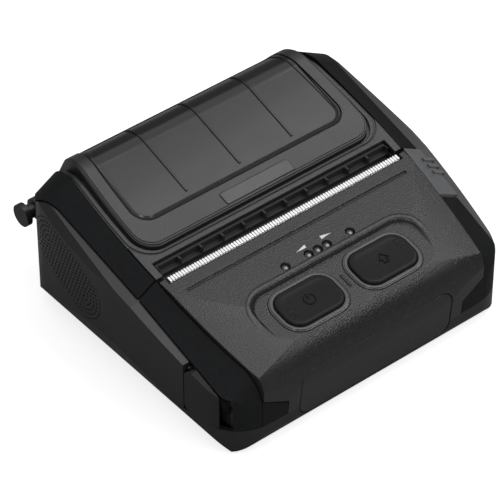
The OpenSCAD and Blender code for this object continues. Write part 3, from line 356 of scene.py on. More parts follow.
def edge_polish_and_glint_group():
    """Mask of edges: where the rounded normal leaves the true one, broken up by noise. It lowers
    the roughness of rubbed edges and paints them lighter as a highlight.
    """
    tree = bpy.data.node_groups.new("edge wear", "ShaderNodeTree")
    socket(tree, "Rounded", "INPUT", "Vector")
    socket(tree, "Amount", "INPUT", "Float", 0.3)
    socket(tree, "Mask", "OUTPUT", "Float")
    source = tree.nodes.new("NodeGroupInput")
    sink = tree.nodes.new("NodeGroupOutput")
    coords = node(tree, "TexCoord").outputs["Object"]
    dot = node(tree, "VectorMath", operation="DOT_PRODUCT")
    tree.links.new(source.outputs["Rounded"], dot.inputs[0])
    tree.links.new(node(tree, "NewGeometry").outputs["Normal"], dot.inputs[1])
    bent = maths(tree, "SUBTRACT", 1.0, dot.outputs["Value"], clamp=True)
    edge = maths(tree, "MULTIPLY", bent, 9.0, clamp=True)
    broken = spread(tree, noise(tree, coords, 160.0, 4.0, 0.65), 0.25, 1.0, 0.35, 0.65)
    worn_glint = maths(tree, "MULTIPLY", edge, broken, clamp=True)
    mask = maths(tree, "MULTIPLY", worn_glint, source.outputs["Amount"], clamp=True)
    tree.links.new(mask, sink.inputs["Mask"])
    return tree


def brushed_group():
    """Long fine scratches along X, as on ground or rolled metal."""
    tree = bpy.data.node_groups.new("brushed lines", "ShaderNodeTree")
    socket(tree, "Across", "INPUT", "Float", 5200.0)
    for name in ("Height", "Tone"):
        socket(tree, name, "OUTPUT", "Float")
    source = tree.nodes.new("NodeGroupInput")
    sink = tree.nodes.new("NodeGroupOutput")
    coords = node(tree, "TexCoord").outputs["Object"]
    split = node(tree, "SeparateXYZ")
    tree.links.new(coords, split.inputs[0])
    joined = node(tree, "CombineXYZ")
    across = source.outputs["Across"]
    for axis, factor in (("X", 60.0), ("Y", across), ("Z", across)):
        tree.links.new(maths(tree, "MULTIPLY", split.outputs[axis], factor), joined.inputs[axis])
    lines = noise(tree, joined.outputs[0], 1.0, 3.0, 0.6)
    tree.links.new(lines, sink.inputs["Height"])
    tree.links.new(noise(tree, coords, 90.0, 4.0), sink.inputs["Tone"])
    return tree


def window_line_group():
    """Groove round the window, as a height, from the distance to its rounded outline."""
    tree = bpy.data.node_groups.new("window groove", "ShaderNodeTree")
    socket(tree, "Height", "OUTPUT", "Float")
    sink = tree.nodes.new("NodeGroupOutput")
    split = node(tree, "SeparateXYZ")
    tree.links.new(node(tree, "TexCoord").outputs["Object"], split.inputs[0])
    half_x, corner = WINDOW_HALF_X * MM, WINDOW_CORNER * MM
    front, rear = (WINDOW_FRONT_Y - MID_Y) * MM, (WINDOW_REAR_Y - MID_Y) * MM
    over_x = maths(tree, "SUBTRACT", maths(tree, "ABSOLUTE", split.outputs["X"]), half_x - corner)
    past_mid = maths(tree, "SUBTRACT", split.outputs["Y"], (front + rear) / 2)
    half_y = (rear - front) / 2
    over_y = maths(tree, "SUBTRACT", maths(tree, "ABSOLUTE", past_mid), half_y - corner)
    out_x = maths(tree, "MAXIMUM", over_x, 0.0)
    out_y = maths(tree, "MAXIMUM", over_y, 0.0)
    square_x = maths(tree, "MULTIPLY", out_x, out_x)
    square_y = maths(tree, "MULTIPLY", out_y, out_y)
    reach = maths(tree, "SQRT", maths(tree, "ADD", square_x, square_y))
    inner = maths(tree, "MINIMUM", maths(tree, "MAXIMUM", over_x, over_y), 0.0)
    away = maths(tree, "SUBTRACT", maths(tree, "ADD", reach, inner), corner)
    line = maths(tree, "ABSOLUTE", maths(tree, "ADD", away, GROOVE_INSET * MM))
    tree.links.new(spread(tree, line, 0.0, 1.0, 0.0, GROOVE_INSET * MM), sink.inputs["Height"])
    return tree


def grouped(tree, name, build):
    """A node of a shared group, which is built at its first use."""
    made = node(tree, "Group")
    made.node_tree = bpy.data.node_groups.get(name) or build()
    return made


# ---------------------------------------------------------------- materials


def scaled(color, factor):
    """A colour made brighter or darker, with full alpha."""
    return tuple(min(1.0, c * factor) for c in color[:3]) + (1.0,)


def blank(name):
    """A new material with its tree and shader, or a finished one of that name with no tree."""
    found = bpy.data.materials.get(name)
    if found:
        return found, None, None
    made = bpy.data.materials.new(name)
    made.use_nodes = True
    tree = made.node_tree
    shader = tree.nodes["Principled BSDF"]
    return made, tree, shader


def rounded_normal(tree, radius):
    """Normal that makes edges look rounded."""
    made = node(tree, "Bevel", samples=6)
    made.inputs["Radius"].default_value = radius
    return made.outputs["Normal"]


def bumped(tree, height, depth, normal):
    """Normal bent by a height of the given depth in metres, on top of another normal."""
    made = node(tree, "Bump")
    made.inputs["Distance"].default_value = depth
    tree.links.new(height, made.inputs["Height"])
    tree.links.new(normal, made.inputs["Normal"])
    return made.outputs["Normal"]


def moulded(
        name, color, rough, depth=0.00002, grain=1.0, sheen=0.0, coat=0.0, gloss=0.5, wear_and_glint=None,
        radius=None, worn_glint=2.6):
    """Injection moulded plastic or rubber with its own grain, gloss patches, a painted glint on the
    tops of its grain, and rubbed, polished edges with a painted highlight. Its edges are painted
    that many times as bright as a highlight, and it takes the edge amount and radius from the look
    unless they are given."""
    made, tree, shader = blank(name)
    if tree is None:
        return made
    skin = grouped(tree, "mould grain", mould_grain_group)
    skin.inputs["Scale"].default_value = 1.0 / (look().grain * grain)
    rounded = rounded_normal(tree, look().soft_edge if radius is None else radius)
    edges = grouped(tree, "edge wear", edge_polish_and_glint_group)
    tree.links.new(rounded, edges.inputs["Rounded"])
    edges.inputs["Amount"].default_value = look().wear_and_glint if wear_and_glint is None else wear_and_glint
    slow = spread(tree, skin.outputs["Tone"], 0.0, 1.0, 0.3, 0.7)
    tone = mixed(tree, slow, scaled(color, 0.86), scaled(color, 1.16))
    # Painted glint: the tops of the grain are painted up to 2.2 times as light, as a sparkle of
    # light on them.
    painted_glints = spread(tree, skin.outputs["Height"], 0.0, 0.45, 0.4, 0.8)
    base = mixed(tree, painted_glints, tone, scaled(color, 2.2))
    mask = edges.outputs["Mask"]
    # Painted highlight: the edge mask paints the edges that many times as bright; the same mask
    # also lowers the roughness as polish from handling.
    tree.links.new(mixed(tree, mask, base, scaled(color, worn_glint)), shader.inputs["Base Color"])
    patchy = spread(tree, skin.outputs["Patch"], rough - 0.05, rough + 0.06, 0.3, 0.7)
    polish = maths(tree, "MULTIPLY", mask, 0.12)
    tree.links.new(
        maths(tree, "SUBTRACT", patchy, polish, clamp=True), shader.inputs["Roughness"])
    tree.links.new(bumped(tree, skin.outputs["Height"], depth, rounded), shader.inputs["Normal"])
    shader.inputs["Specular IOR Level"].default_value = gloss
    shader.inputs["Sheen Weight"].default_value = sheen
    shader.inputs["Coat Weight"].default_value = coat
    shader.inputs["Coat Roughness"].default_value = 0.08
    return made


def metal(name, color, rough, across=5200.0):
    """Ground or rolled metal with a little tarnish and so many fine lines across a metre."""
    made, tree, shader = blank(name)
    if tree is None:
        return made
    lines = grouped(tree, "brushed lines", brushed_group)
    lines.inputs["Across"].default_value = across
    height = lines.outputs["Height"]
    tarnish = spread(tree, lines.outputs["Tone"], 0.0, 1.0, 0.35, 0.75)
    tone = mixed(tree, tarnish, scaled(color, 1.08), scaled(color, 0.72))
    tree.links.new(tone, shader.inputs["Base Color"])
    patchy = spread(tree, height, rough - 0.07, rough + 0.1, 0.3, 0.7)
    tree.links.new(patchy, shader.inputs["Roughness"])
    shader.inputs["Metallic"].default_value = 1.0
    rounded = rounded_normal(tree, look().soft_edge * 0.6)
    tree.links.new(bumped(tree, height, 0.000006, rounded), shader.inputs["Normal"])
    return made


def toothed(name, color, teeth_pitch):
    """Bright steel whose edge is cut into fine teeth, with painted shade between the teeth."""
    made, tree, shader = blank(name)
    if tree is None:
        return made
    coords = node(tree, "TexCoord").outputs["Object"]
    bands = node(tree, "TexWave", wave_type="BANDS", bands_direction="X", wave_profile="TRI")
    tree.links.new(coords, bands.inputs["Vector"])
    bands.inputs["Scale"].default_value = math.tau / 20 / teeth_pitch
    gap_relief_and_shade = spread(tree, bands.outputs["Fac"], 0.0, 1.0, 0.1, 0.26)
    lines = grouped(tree, "brushed lines", brushed_group)
    bright = mixed(tree, lines.outputs["Tone"], scaled(color, 1.05), scaled(color, 0.85))
    # Painted shade: between the teeth the steel is painted a quarter as bright; the same mask also
    # bumps the teeth.
    tree.links.new(mixed(tree, gap_relief_and_shade, scaled(color, 0.25), bright), shader.inputs["Base Color"])
    patchy = spread(tree, lines.outputs["Height"], 0.22, 0.36, 0.3, 0.7)
    tree.links.new(patchy, shader.inputs["Roughness"])
    shader.inputs["Metallic"].default_value = 1.0
    teeth = bumped(tree, gap_relief_and_shade, 0.0002, rounded_normal(tree, 0.0002))
    tree.links.new(teeth, shader.inputs["Normal"])
    return made


def smoked(name, color):
    """Polished smoked plastic of the window with faint swirls and dust."""
    made, tree, shader = blank(name)
    if tree is None:
        return made
    coords = node(tree, "TexCoord").outputs["Object"]
    swirl = noise(tree, coords, 55.0, 6.0, 0.7)
    dust = spread(tree, noise(tree, coords, 1500.0, 2.0), 0.0, 1.0, 0.7, 0.8)
    tone = mixed(tree, dust, scaled(color, 1.0), scaled(color, 2.4))
    tree.links.new(tone, shader.inputs["Base Color"])
    smear = spread(tree, swirl, 0.17, 0.24, 0.35, 0.7)
    haze = maths(tree, "ADD", smear, maths(tree, "MULTIPLY", dust, 0.2))
    tree.links.new(haze, shader.inputs["Roughness"])
    line = grouped(tree, "window groove", window_line_group)
    groove = bumped(tree, line.outputs["Height"], 0.0006, rounded_normal(tree, 0.0003))
    tree.links.new(bumped(tree, swirl, 0.00002, groove), shader.inputs["Normal"])
    shader.inputs["IOR"].default_value = 1.46
    shader.inputs["Coat Weight"].default_value = 0.1
    shader.inputs["Coat Roughness"].default_value = 0.05
    return made


def board(name, color):
    """Lacquered circuit board with faint copper tracks."""
    made, tree, shader = blank(name)
    if tree is None:
        return made
    coords = node(tree, "TexCoord").outputs["Object"]
    tracks = node(tree, "TexBrick")
    tree.links.new(coords, tracks.inputs["Vector"])
    tracks.inputs["Scale"].default_value = 220.0
    tracks.inputs["Mortar Size"].default_value = 0.06
    tracks.inputs["Color1"].default_value = scaled(color, 1.0)
    tracks.inputs["Color2"].default_value = scaled(color, 0.8)
    tracks.inputs["Mortar"].default_value = scaled(color, 1.7)
    tree.links.new(tracks.outputs["Color"], shader.inputs["Base Color"])
    patchy = spread(tree, noise(tree, coords, 300.0), 0.22, 0.4, 0.3, 0.7)
    tree.links.new(patchy, shader.inputs["Roughness"])
    shader.inputs["Coat Weight"].default_value = 0.4
    return made


def finishes():
    """All finishes of the printer by their slot in the record. Depth is in metres and grain is a
    share of the look's grain size."""
    s = look()
    return {
        "case_black": lambda: moulded(
            "moulded case", s.cover_color, rough=0.4, depth=0.00003, gloss=0.4),
        "cover_black": lambda: moulded(
            "moulded side cover", s.cover_color, rough=0.36, depth=0.000014, grain=0.9, gloss=0.4),
        "panel_black": lambda: moulded(
            "textured panel", s.panel_color, rough=0.26, depth=0.0001, grain=1.15, radius=0.0006),
        "lid_black": lambda: moulded(
            "textured lid", s.panel_color, rough=0.36, depth=0.0001, grain=1.15, gloss=0.62,
            radius=0.0005),
        "grille_black": lambda: moulded(
            "grille plastic", s.cover_color, rough=0.32, depth=0.00001, grain=0.8, gloss=0.4),
        "inner_black": lambda: moulded(
            "inner plastic", (0.014, 0.014, 0.0145), rough=0.5),
        "shoulder_rubber": lambda: moulded(
            "shoulder rubber", s.rubber_color, rough=0.5, depth=0.00003, grain=0.7, gloss=0.07,
            wear_and_glint=0.15),
        "port_rubber": lambda: moulded(
            "port rubber", (0.01, 0.01, 0.0105), rough=0.5, depth=0.00003, grain=0.7, sheen=0.05,
            gloss=0.2, wear_and_glint=0.1),
        "roller_rubber": lambda: moulded(
            "roller rubber", (0.02, 0.02, 0.021), rough=0.7, grain=0.5, wear_and_glint=0.05),
        "foot_rubber": lambda: moulded(
            "foot rubber", (0.014, 0.014, 0.014), rough=0.75, depth=0.00003, grain=0.9, wear_and_glint=0.1),
        "window_smoke": lambda: smoked("smoked window", s.window_color),
        "plate_grey": lambda: moulded(
            "bare name plate", (0.045, 0.045, 0.046), rough=0.34, depth=0.000008, grain=0.7),
        "bezel_gloss": lambda: moulded(
            "gloss bezel", (0.004, 0.004, 0.0043), rough=0.12, depth=0.000002, coat=1.0,
            gloss=0.8, wear_and_glint=0.2, radius=0.0006),
        "key_black": lambda: moulded(
            "key plastic", (0.01, 0.0102, 0.0106), rough=0.14, depth=0.000008, grain=0.7,
            gloss=0.12, wear_and_glint=0.3, radius=0.0005),
        "lever_grey": lambda: moulded(
            "lever lacquer", s.lever_color, rough=0.34, depth=0.000012, grain=0.5, coat=0.25,
            wear_and_glint=0.3),
        "light_clear": lambda: moulded(
            "clear light", (0.014, 0.0146, 0.014), rough=0.2, depth=0.000001, coat=0.3, gloss=0.3,
            wear_and_glint=0.0),
        "steel": lambda: metal("bright steel", (0.62, 0.63, 0.64), rough=0.3),
        "tin": lambda: metal("tinned steel", (0.6, 0.6, 0.58), rough=0.34, across=900.0),
        "brass": lambda: metal("brass", (0.72, 0.53, 0.25), rough=0.3, across=1800.0),
        "gear_white": lambda: moulded(
            "gear plastic", (0.62, 0.61, 0.57), rough=0.42, depth=0.000008, grain=0.8, worn_glint=1.1),
        "bush_amber": lambda: moulded(
            "bearing plastic", (0.35, 0.24, 0.1), rough=0.4, depth=0.000008, grain=0.8, worn_glint=1.3),
        "board_green": lambda: board("lacquered board", (0.012, 0.085, 0.04)),
        "chip_black": lambda: moulded(
            "chip case", (0.014, 0.014, 0.014), rough=0.5, depth=0.00001, grain=0.5),
        "motor_grey": lambda: metal("motor can", (0.2, 0.2, 0.21), rough=0.36, across=700.0),
        "sink_aluminium": lambda: metal("heat sink", (0.62, 0.63, 0.65), rough=0.36, across=2600.0),
        "ceramic": lambda: moulded(
            "head ceramic", (0.55, 0.52, 0.45), rough=0.22, depth=0.000004, coat=0.3, worn_glint=1.1),
        "battery_black": lambda: moulded(
            "battery case", (0.022, 0.022, 0.0235), rough=0.46, depth=0.00003),
    }


def dress(names):
    """Gives CAD nodes the finish of their slot."""
    slots = {part["node"]: part["material_slot"] for part in frame["record"]["subparts"]}
    made = finishes()
    for name in names:
        piece = frame["nodes"][name]
        material = made[slots[name]]()
        piece.data.materials.clear()
        piece.data.materials.append(material)


# ---------------------------------------------------------------- mesh helpers


def flat_pad(width, length, corner, steps):
    """A bmesh with one flat face: a rectangle with rounded corners, in the XY plane."""
    bm = bmesh.new()
    bmesh.ops.create_grid(bm, x_segments=1, y_segments=1, size=0.5)
    bmesh.ops.scale(bm, vec=(width, length, 1), verts=bm.verts)
    bmesh.ops.bevel(
        bm, geom=list(bm.verts), offset=corner, offset_type="OFFSET", segments=steps,
        profile=0.5, affect="VERTICES", material=-1, clamp_overlap=False)
    return bm


def raise_faces(bm, faces, height):
    """Extrudes faces along Z and gives back the new top faces."""
    made = bmesh.ops.extrude_face_region(bm, geom=list(faces))
    moved = [g for g in made["geom"] if isinstance(g, bmesh.types.BMVert)]
    bmesh.ops.translate(bm, vec=(0, 0, height), verts=moved)
    return [g for g in made["geom"] if isinstance(g, bmesh.types.BMFace)]


def outline_edges(faces):
    """Edges between the given faces and the rest of the mesh."""
    inside = set(faces)
    return [e for f in faces for e in f.edges if any(g not in inside for g in e.link_faces)]


def soften(bm, edges, width, steps):
    """Rounds edges with a bevel."""
    bmesh.ops.bevel(
        bm, geom=list(dict.fromkeys(edges)), offset=width, offset_type="OFFSET", segments=steps,
        profile=0.5, affect="EDGES", material=-1, clamp_overlap=True)


def new_object(bm, name, material):
    """Turns a bmesh into an object of the scene."""
    mesh = bpy.data.meshes.new(name)
    bm.to_mesh(mesh)
    bm.free()
    mesh.materials.append(material)
    made = bpy.data.objects.new(name, mesh)
    bpy.context.scene.collection.objects.link(made)
    return made


def finish_piece(bm, name, place, material, body, smooth_angle=35.0):
    """Turns a bmesh into a placed piece that rides on a body."""
    bmesh.ops.remove_doubles(bm, verts=bm.verts, dist=1e-7)
    bmesh.ops.recalc_face_normals(bm, faces=bm.faces)
    bmesh.ops.transform(bm, matrix=place, verts=bm.verts)
    sharp = math.radians(smooth_angle)
    for face in bm.faces:
        face.smooth = True
    for edge in bm.edges:
        if len(edge.link_faces) == 2 and edge.calc_face_angle(0.0) > sharp:
            edge.smooth = False
    piece = new_object(bm, name, material)
    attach(piece, body)
    return piece


def joined(parts):
    """Puts several bmeshes into one."""
    whole = bmesh.new()
    for bm in parts:
        mesh = bpy.data.meshes.new("part")
        bm.to_mesh(mesh)
        bm.free()
        whole.from_mesh(mesh)
        bpy.data.meshes.remove(mesh)
    return whole


def moved(bm, matrix):
    """Moves a bmesh and gives it back."""
    bmesh.ops.transform(bm, matrix=matrix, verts=bm.verts)
    return bm


def slab(width, length, height, corner, edge):
    """Closed block with rounded upright corners and a rounded upper rim, in millimetres."""
    bm = flat_pad(width * MM, length * MM, corner * MM, 4)
    top = raise_faces(bm, list(bm.faces), height * MM)
    soften(bm, outline_edges(top), edge * MM, 2)
    return bm


# ---------------------------------------------------------------- pieces


def key_cap(side):
    """Push button cap with a rounded rim, a softly dished top, a stem and three grip ridges."""
    size = keys()
    cap = flat_pad(size.width, size.length, size.corner, size.arc_steps)
    base = list(cap.faces)
    bmesh.ops.translate(cap, vec=(0, 0, CAP_BOTTOM * MM), verts=cap.verts)
    soften(cap, outline_edges(raise_faces(cap, base, CAP_HEIGHT * MM)), size.edge, 4)
    for thickness, depth in DISHES:
        upper = [f for f in cap.faces if f.calc_center_median().z > RIDGE_Z * MM]
        top = max(upper, key=lambda f: f.calc_area())
        bmesh.ops.inset_region(cap, faces=[top], thickness=thickness * MM, depth=depth * MM)
    stem = bmesh.new()
    bmesh.ops.create_cone(
        stem, cap_ends=True, segments=28, radius1=STEM_R * MM, radius2=STEM_R * MM,
        depth=STEM_LENGTH * MM, matrix=Matrix.Translation((0, 0, STEM_MIDDLE * MM)))
    parts = [cap, stem]
    for row in (-1, 0, 1):
        x = side * (size.width / 2 - RIDGE_INSET * MM)
        y = (row * RIDGE_PITCH + side * RIDGE_Y + RIDGE_DOWN) * MM
        ridge = slab(*RIDGE_SIZE, RIDGE_CORNER, RIDGE_EDGE)
        parts.append(moved(ridge, Matrix.Translation((x, y, RIDGE_Z * MM))))
    return joined(parts)


def power_sign():
    """Broken ring with a short bar in its gap."""
    ring = bmesh.new()
    bmesh.ops.create_circle(
        ring, cap_ends=False, segments=8, radius=RING_TUBE_R * MM,
        matrix=Matrix.Translation((0, RING_R * MM, 0)) @ Matrix.Rotation(math.pi / 2, 4, "Y"))
    start = Matrix.Rotation(math.radians(RING_START), 3, "Z")
    bmesh.ops.rotate(ring, verts=ring.verts, cent=(0, 0, 0), matrix=start)
    bmesh.ops.spin(
        ring, geom=list(ring.verts) + list(ring.edges), axis=(0, 0, 1), cent=(0, 0, 0),
        angle=math.radians(RING_TURN), steps=44, use_merge=False, use_duplicate=False)
    bmesh.ops.holes_fill(ring, edges=[e for e in ring.edges if e.is_boundary], sides=0)
    bar = slab(*BAR_SIZE, BAR_CORNER, BAR_EDGE)
    return joined([ring, moved(bar, Matrix.Translation((0, BAR_Y * MM, 0)))])


def strokes(points, width, height):
    """Closed chain of rounded bars through the points, in millimetres."""
    parts = []
    for start, end in zip(points, points[1:] + points[:1]):
        way = Vector(end) - Vector(start)
        middle = (Vector(start) + Vector(end)) / 2 * MM
        bar = slab(way.length + width, width, height, width * 0.45, 0.05)
        turn = Matrix.Rotation(math.atan2(way.y, way.x), 4, "Z")
        parts.append(moved(bar, Matrix.Translation((middle.x, middle.y, 0)) @ turn))
    return joined(parts)


def feed_sign():
    """Hollow upright arrow."""
    return strokes(ARROW, ARROW_WIDTH, ARROW_HEIGHT)


class PRINTER_OT_covers(bpy.types.Operator):
    """Give the outer covers their moulded finish"""
    bl_idname = "printer.covers"
    bl_label = "Covers"

    def execute(self, context):
        dress([
            "bottom_case", "front_case", "front_plate", "left_side_cover", "right_side_cover",
            "left_grille", "right_grille", "rear_cover", "hinge_caps", "lid_shell", "lid_panel",
            "name_plate", "exit_guide", "port_panel"])
        return {"FINISHED"}


class PRINTER_OT_shoulders(bpy.types.Operator):
    """Give the soft shoulders, flap and feet their rubber"""
    bl_idname = "printer.shoulders"
    bl_label = "Soft shoulders"

    def execute(self, context):
        dress(["left_bumper", "right_bumper", "left_grip", "right_grip", "port_cover", "feet"])
        return {"FINISHED"}


class PRINTER_OT_window(bpy.types.Operator):
    """Give the window its smoked polish"""
    bl_idname = "printer.window"
    bl_label = "Window"

    def execute(self, context):
        dress(["lid_window"])
        return {"FINISHED"}


class PRINTER_OT_lever(bpy.types.Operator):
    """Give the lid lever its grey lacquer"""
    bl_idname = "printer.lever"
    bl_label = "Lid lever"

    def execute(self, context):
        dress(["release_lever"])
        return {"FINISHED"}


class PRINTER_OT_mechanism(bpy.types.Operator):
    """Give the print mechanism its metals and plastics"""
    bl_idname = "printer.mechanism"
    bl_label = "Print mechanism"

    def execute(self, context):
        dress([
            "print_chassis", "gear_studs", "feed_motor", "motor_pinion", "idler_gear",
            "relay_gear", "head_sink", "print_head", "head_pivot", "head_springs", "platen_roller",
            "platen_shaft", "platen_gear", "platen_bushings", "latch_hooks", "roll_cradle",
            "paper_sensor", "lid_frame", "hinge_pin", "case_screws"])
        return {"FINISHED"}


class PRINTER_OT_tear_bar(bpy.types.Operator):
    """Give the tear bar its bright toothed steel"""
    bl_idname = "printer.tear_bar"
    bl_label = "Tear bar"

    def execute(self, context):
        bar = frame["nodes"]["tear_bar"]
        bar.data.materials.clear()
        bar.data.materials.append(
            toothed("toothed steel", (0.86, 0.87, 0.88), TEAR_LENGTH * MM / TEAR_TEETH))
        return {"FINISHED"}


class PRINTER_OT_electronics(bpy.types.Operator):
    """Give the boards, sockets and battery their finishes"""
    bl_idname = "printer.electronics"
    bl_label = "Electronics and battery"

    def execute(self, context):
        dress([
            "key_board", "main_board", "board_parts", "wireless_module", "power_jack",
            "data_socket", "battery_bay", "battery_pack", "battery_latch", "battery_contacts",
            "light_pipes"])
        return {"FINISHED"}


class PRINTER_OT_bezels(bpy.types.Operator):
    """Give the bezels round the push buttons their gloss"""
    bl_idname = "printer.bezels"
    bl_label = "Button bezels"

    def execute(self, context):
        dress(["button_bezels"])
        return {"FINISHED"}


class PRINTER_OT_buttons(bpy.types.Operator):
    """Build the power and feed buttons with their raised signs"""
    bl_idname = "printer.buttons"
    bl_label = "Push buttons"

    def execute(self, context):
        plastic = finishes()["key_black"]()
        paint = moulded(
            "sign relief", (0.002, 0.002, 0.002), rough=0.5, depth=0.000004, gloss=0.15,
            wear_and_glint=0.0, radius=0.0001)
        for name, side, body, sign in (
            ("power_button", -1, "power_key", power_sign), ("feed_button", 1, "feed_key", feed_sign)
        ):
            place = on_panel(side * KEY_X, KEY_Y, 0)
            cap = finish_piece(key_cap(side), name + "_cap", place, plastic, body)
            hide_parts(name)
            finish_piece(
                sign(), name + "_sign", place @ Matrix.Translation((0, 0, SIGN_Z * MM)),
                paint, body)
        return {"FINISHED"}


class PRINTER_OT_lights(bpy.types.Operator):
    """Build the pale lenses of the five status lights"""
    bl_idname = "printer.lights"
    bl_label = "Status lights"

    def execute(self, context):
        material = moulded(
            "pale lens", (0.32, 0.33, 0.32), rough=0.2, depth=0.000001, coat=0.5, wear_and_glint=0.0)
        parts = []
        for x in LIGHT_X:
            bm = bmesh.new()
            bmesh.ops.create_uvsphere(bm, u_segments=24, v_segments=12, radius=LENS_R * MM)
            bmesh.ops.bisect_plane(
                bm, geom=list(bm.verts) + list(bm.edges) + list(bm.faces),
                plane_co=(0, 0, LENS_CUT * MM), plane_no=(0, 0, 1), clear_inner=True)
            bmesh.ops.holes_fill(bm, edges=[e for e in bm.edges if e.is_boundary], sides=0)
            parts.append(moved(bm, on_panel(x, LIGHT_Y - LENS_FORWARD, LENS_Z)))
        finish_piece(joined(parts), "light_lenses", Matrix(), material, "case")
        return {"FINISHED"}


class PRINTER_OT_marks(bpy.types.Operator):
    """Build the two plain wedges printed beside the middle lights"""
    bl_idname = "printer.marks"
    bl_label = "Printed wedges"

    def execute(self, context):
        paint = moulded(
            "printed sign", look().sign_color, rough=0.45, depth=0.000002, wear_and_glint=0.0)
        parts = []
        for corners in WEDGES:
            bm = bmesh.new()
            verts = [bm.verts.new((x * MM, (y - WEDGE_Y) * MM, 0)) for x, y in corners]
            raise_faces(bm, [bm.faces.new(verts)], PAINT_HEIGHT * MM)
            parts.append(moved(bm, on_panel(0, WEDGE_Y, PAINT_LIFT)))
        finish_piece(joined(parts), "printed_wedges", Matrix(), paint, "case")
        return {"FINISHED"}


def field_path():
    """Points of the control field's outline, each with its outward direction, from the left
    leg's front end round the back to the right leg's."""
    x = FIELD_X - FIELD_CORNER
    y = FIELD_REAR_Y - FIELD_CORNER
    leg = BEND_START_Y - FIELD_PAST_BEND - y
    run = [y + leg * k / LEG_ROWS for k in range(LEG_ROWS, 0, -1)]
    path = [((-FIELD_X, v), (-1, 0)) for v in run]
    for centre, first in ((-x, 180), (x, 90)):
        for k in range(CORNER_ROWS + 1):
            turn = math.radians(first - 90 * k / CORNER_ROWS)
            out = (math.cos(turn), math.sin(turn))
            path.append(((centre + FIELD_CORNER * out[0], y + FIELD_CORNER * out[1]), out))
    return path + [((FIELD_X, v), (1, 0)) for v in reversed(run)]


def surface_drop(x, y):
    """How far the front cover lies below the panel's plane, where bend and crown cut it away."""
    past = max(0.0, BEND_START_Y - y)
    bend = BEND_R - math.sqrt(BEND_R ** 2 - past ** 2)
    sag = CROWN_SAG * (CROWN_R - math.sqrt(CROWN_R ** 2 - x * x))
    crown = CROWN_RISE + (CROWN_SLOPE - math.tan(PANEL_TILT)) * (y - PANEL_Y) - sag
    return max(bend, -crown, 0.0)


def field_rim():
    """Softly rounded lip that leads from the panel down into the control field, and fades where
    the cover falls away."""
    bm = bmesh.new()
    rows = []
    for (x, y), (out_x, out_y) in field_path():
        row = []
        for off, height in RIM_PROFILE:
            px, py = x + out_x * off, y + out_y * off
            drop = surface_drop(px, py)
            lip = max(height, 0) * max(0.0, 1 - drop / RIM_FADE)
            pz = min(height, lip - drop) + RIM_LIFT
            row.append(bm.verts.new((px * MM, py * MM, pz * MM)))
        rows.append(row)
    for first, second in zip(rows, rows[1:]):
        for k in range(len(RIM_PROFILE) - 1):
            bm.faces.new((first[k], first[k + 1], second[k + 1], second[k]))
    under = bmesh.ops.duplicate(bm, geom=list(bm.verts) + list(bm.edges) + list(bm.faces))
    low = [g for g in under["geom"] if isinstance(g, bmesh.types.BMVert)]
    bmesh.ops.translate(bm, vec=(0, 0, -RIM_THICKNESS * MM), verts=low)
    bmesh.ops.bridge_loops(bm, edges=[e for e in bm.edges if e.is_boundary])
    return bm


class PRINTER_OT_field_rim(bpy.types.Operator):
    """Build the rounded rim of the sunken control field"""
    bl_idname = "printer.field_rim"
    bl_label = "Control field rim"

    def execute(self, context):
        bm = field_rim()
        tilt = Matrix.Rotation(PANEL_TILT, 4, "X")
        level = Matrix.Translation((0, (PANEL_Y - MID_Y) * MM, PANEL_Z * MM))
        bmesh.ops.scale(bm, vec=(1, 1 / math.cos(PANEL_TILT), 1), verts=bm.verts)
        shift = Matrix.Translation((0, -PANEL_Y / math.cos(PANEL_TILT) * MM, 0))
        finish_piece(
            bm, "field_rim", level @ tilt @ shift, finishes()["panel_black"](), "case",
            60.0)
        return {"FINISHED"}


# ---------------------------------------------------------------- studio


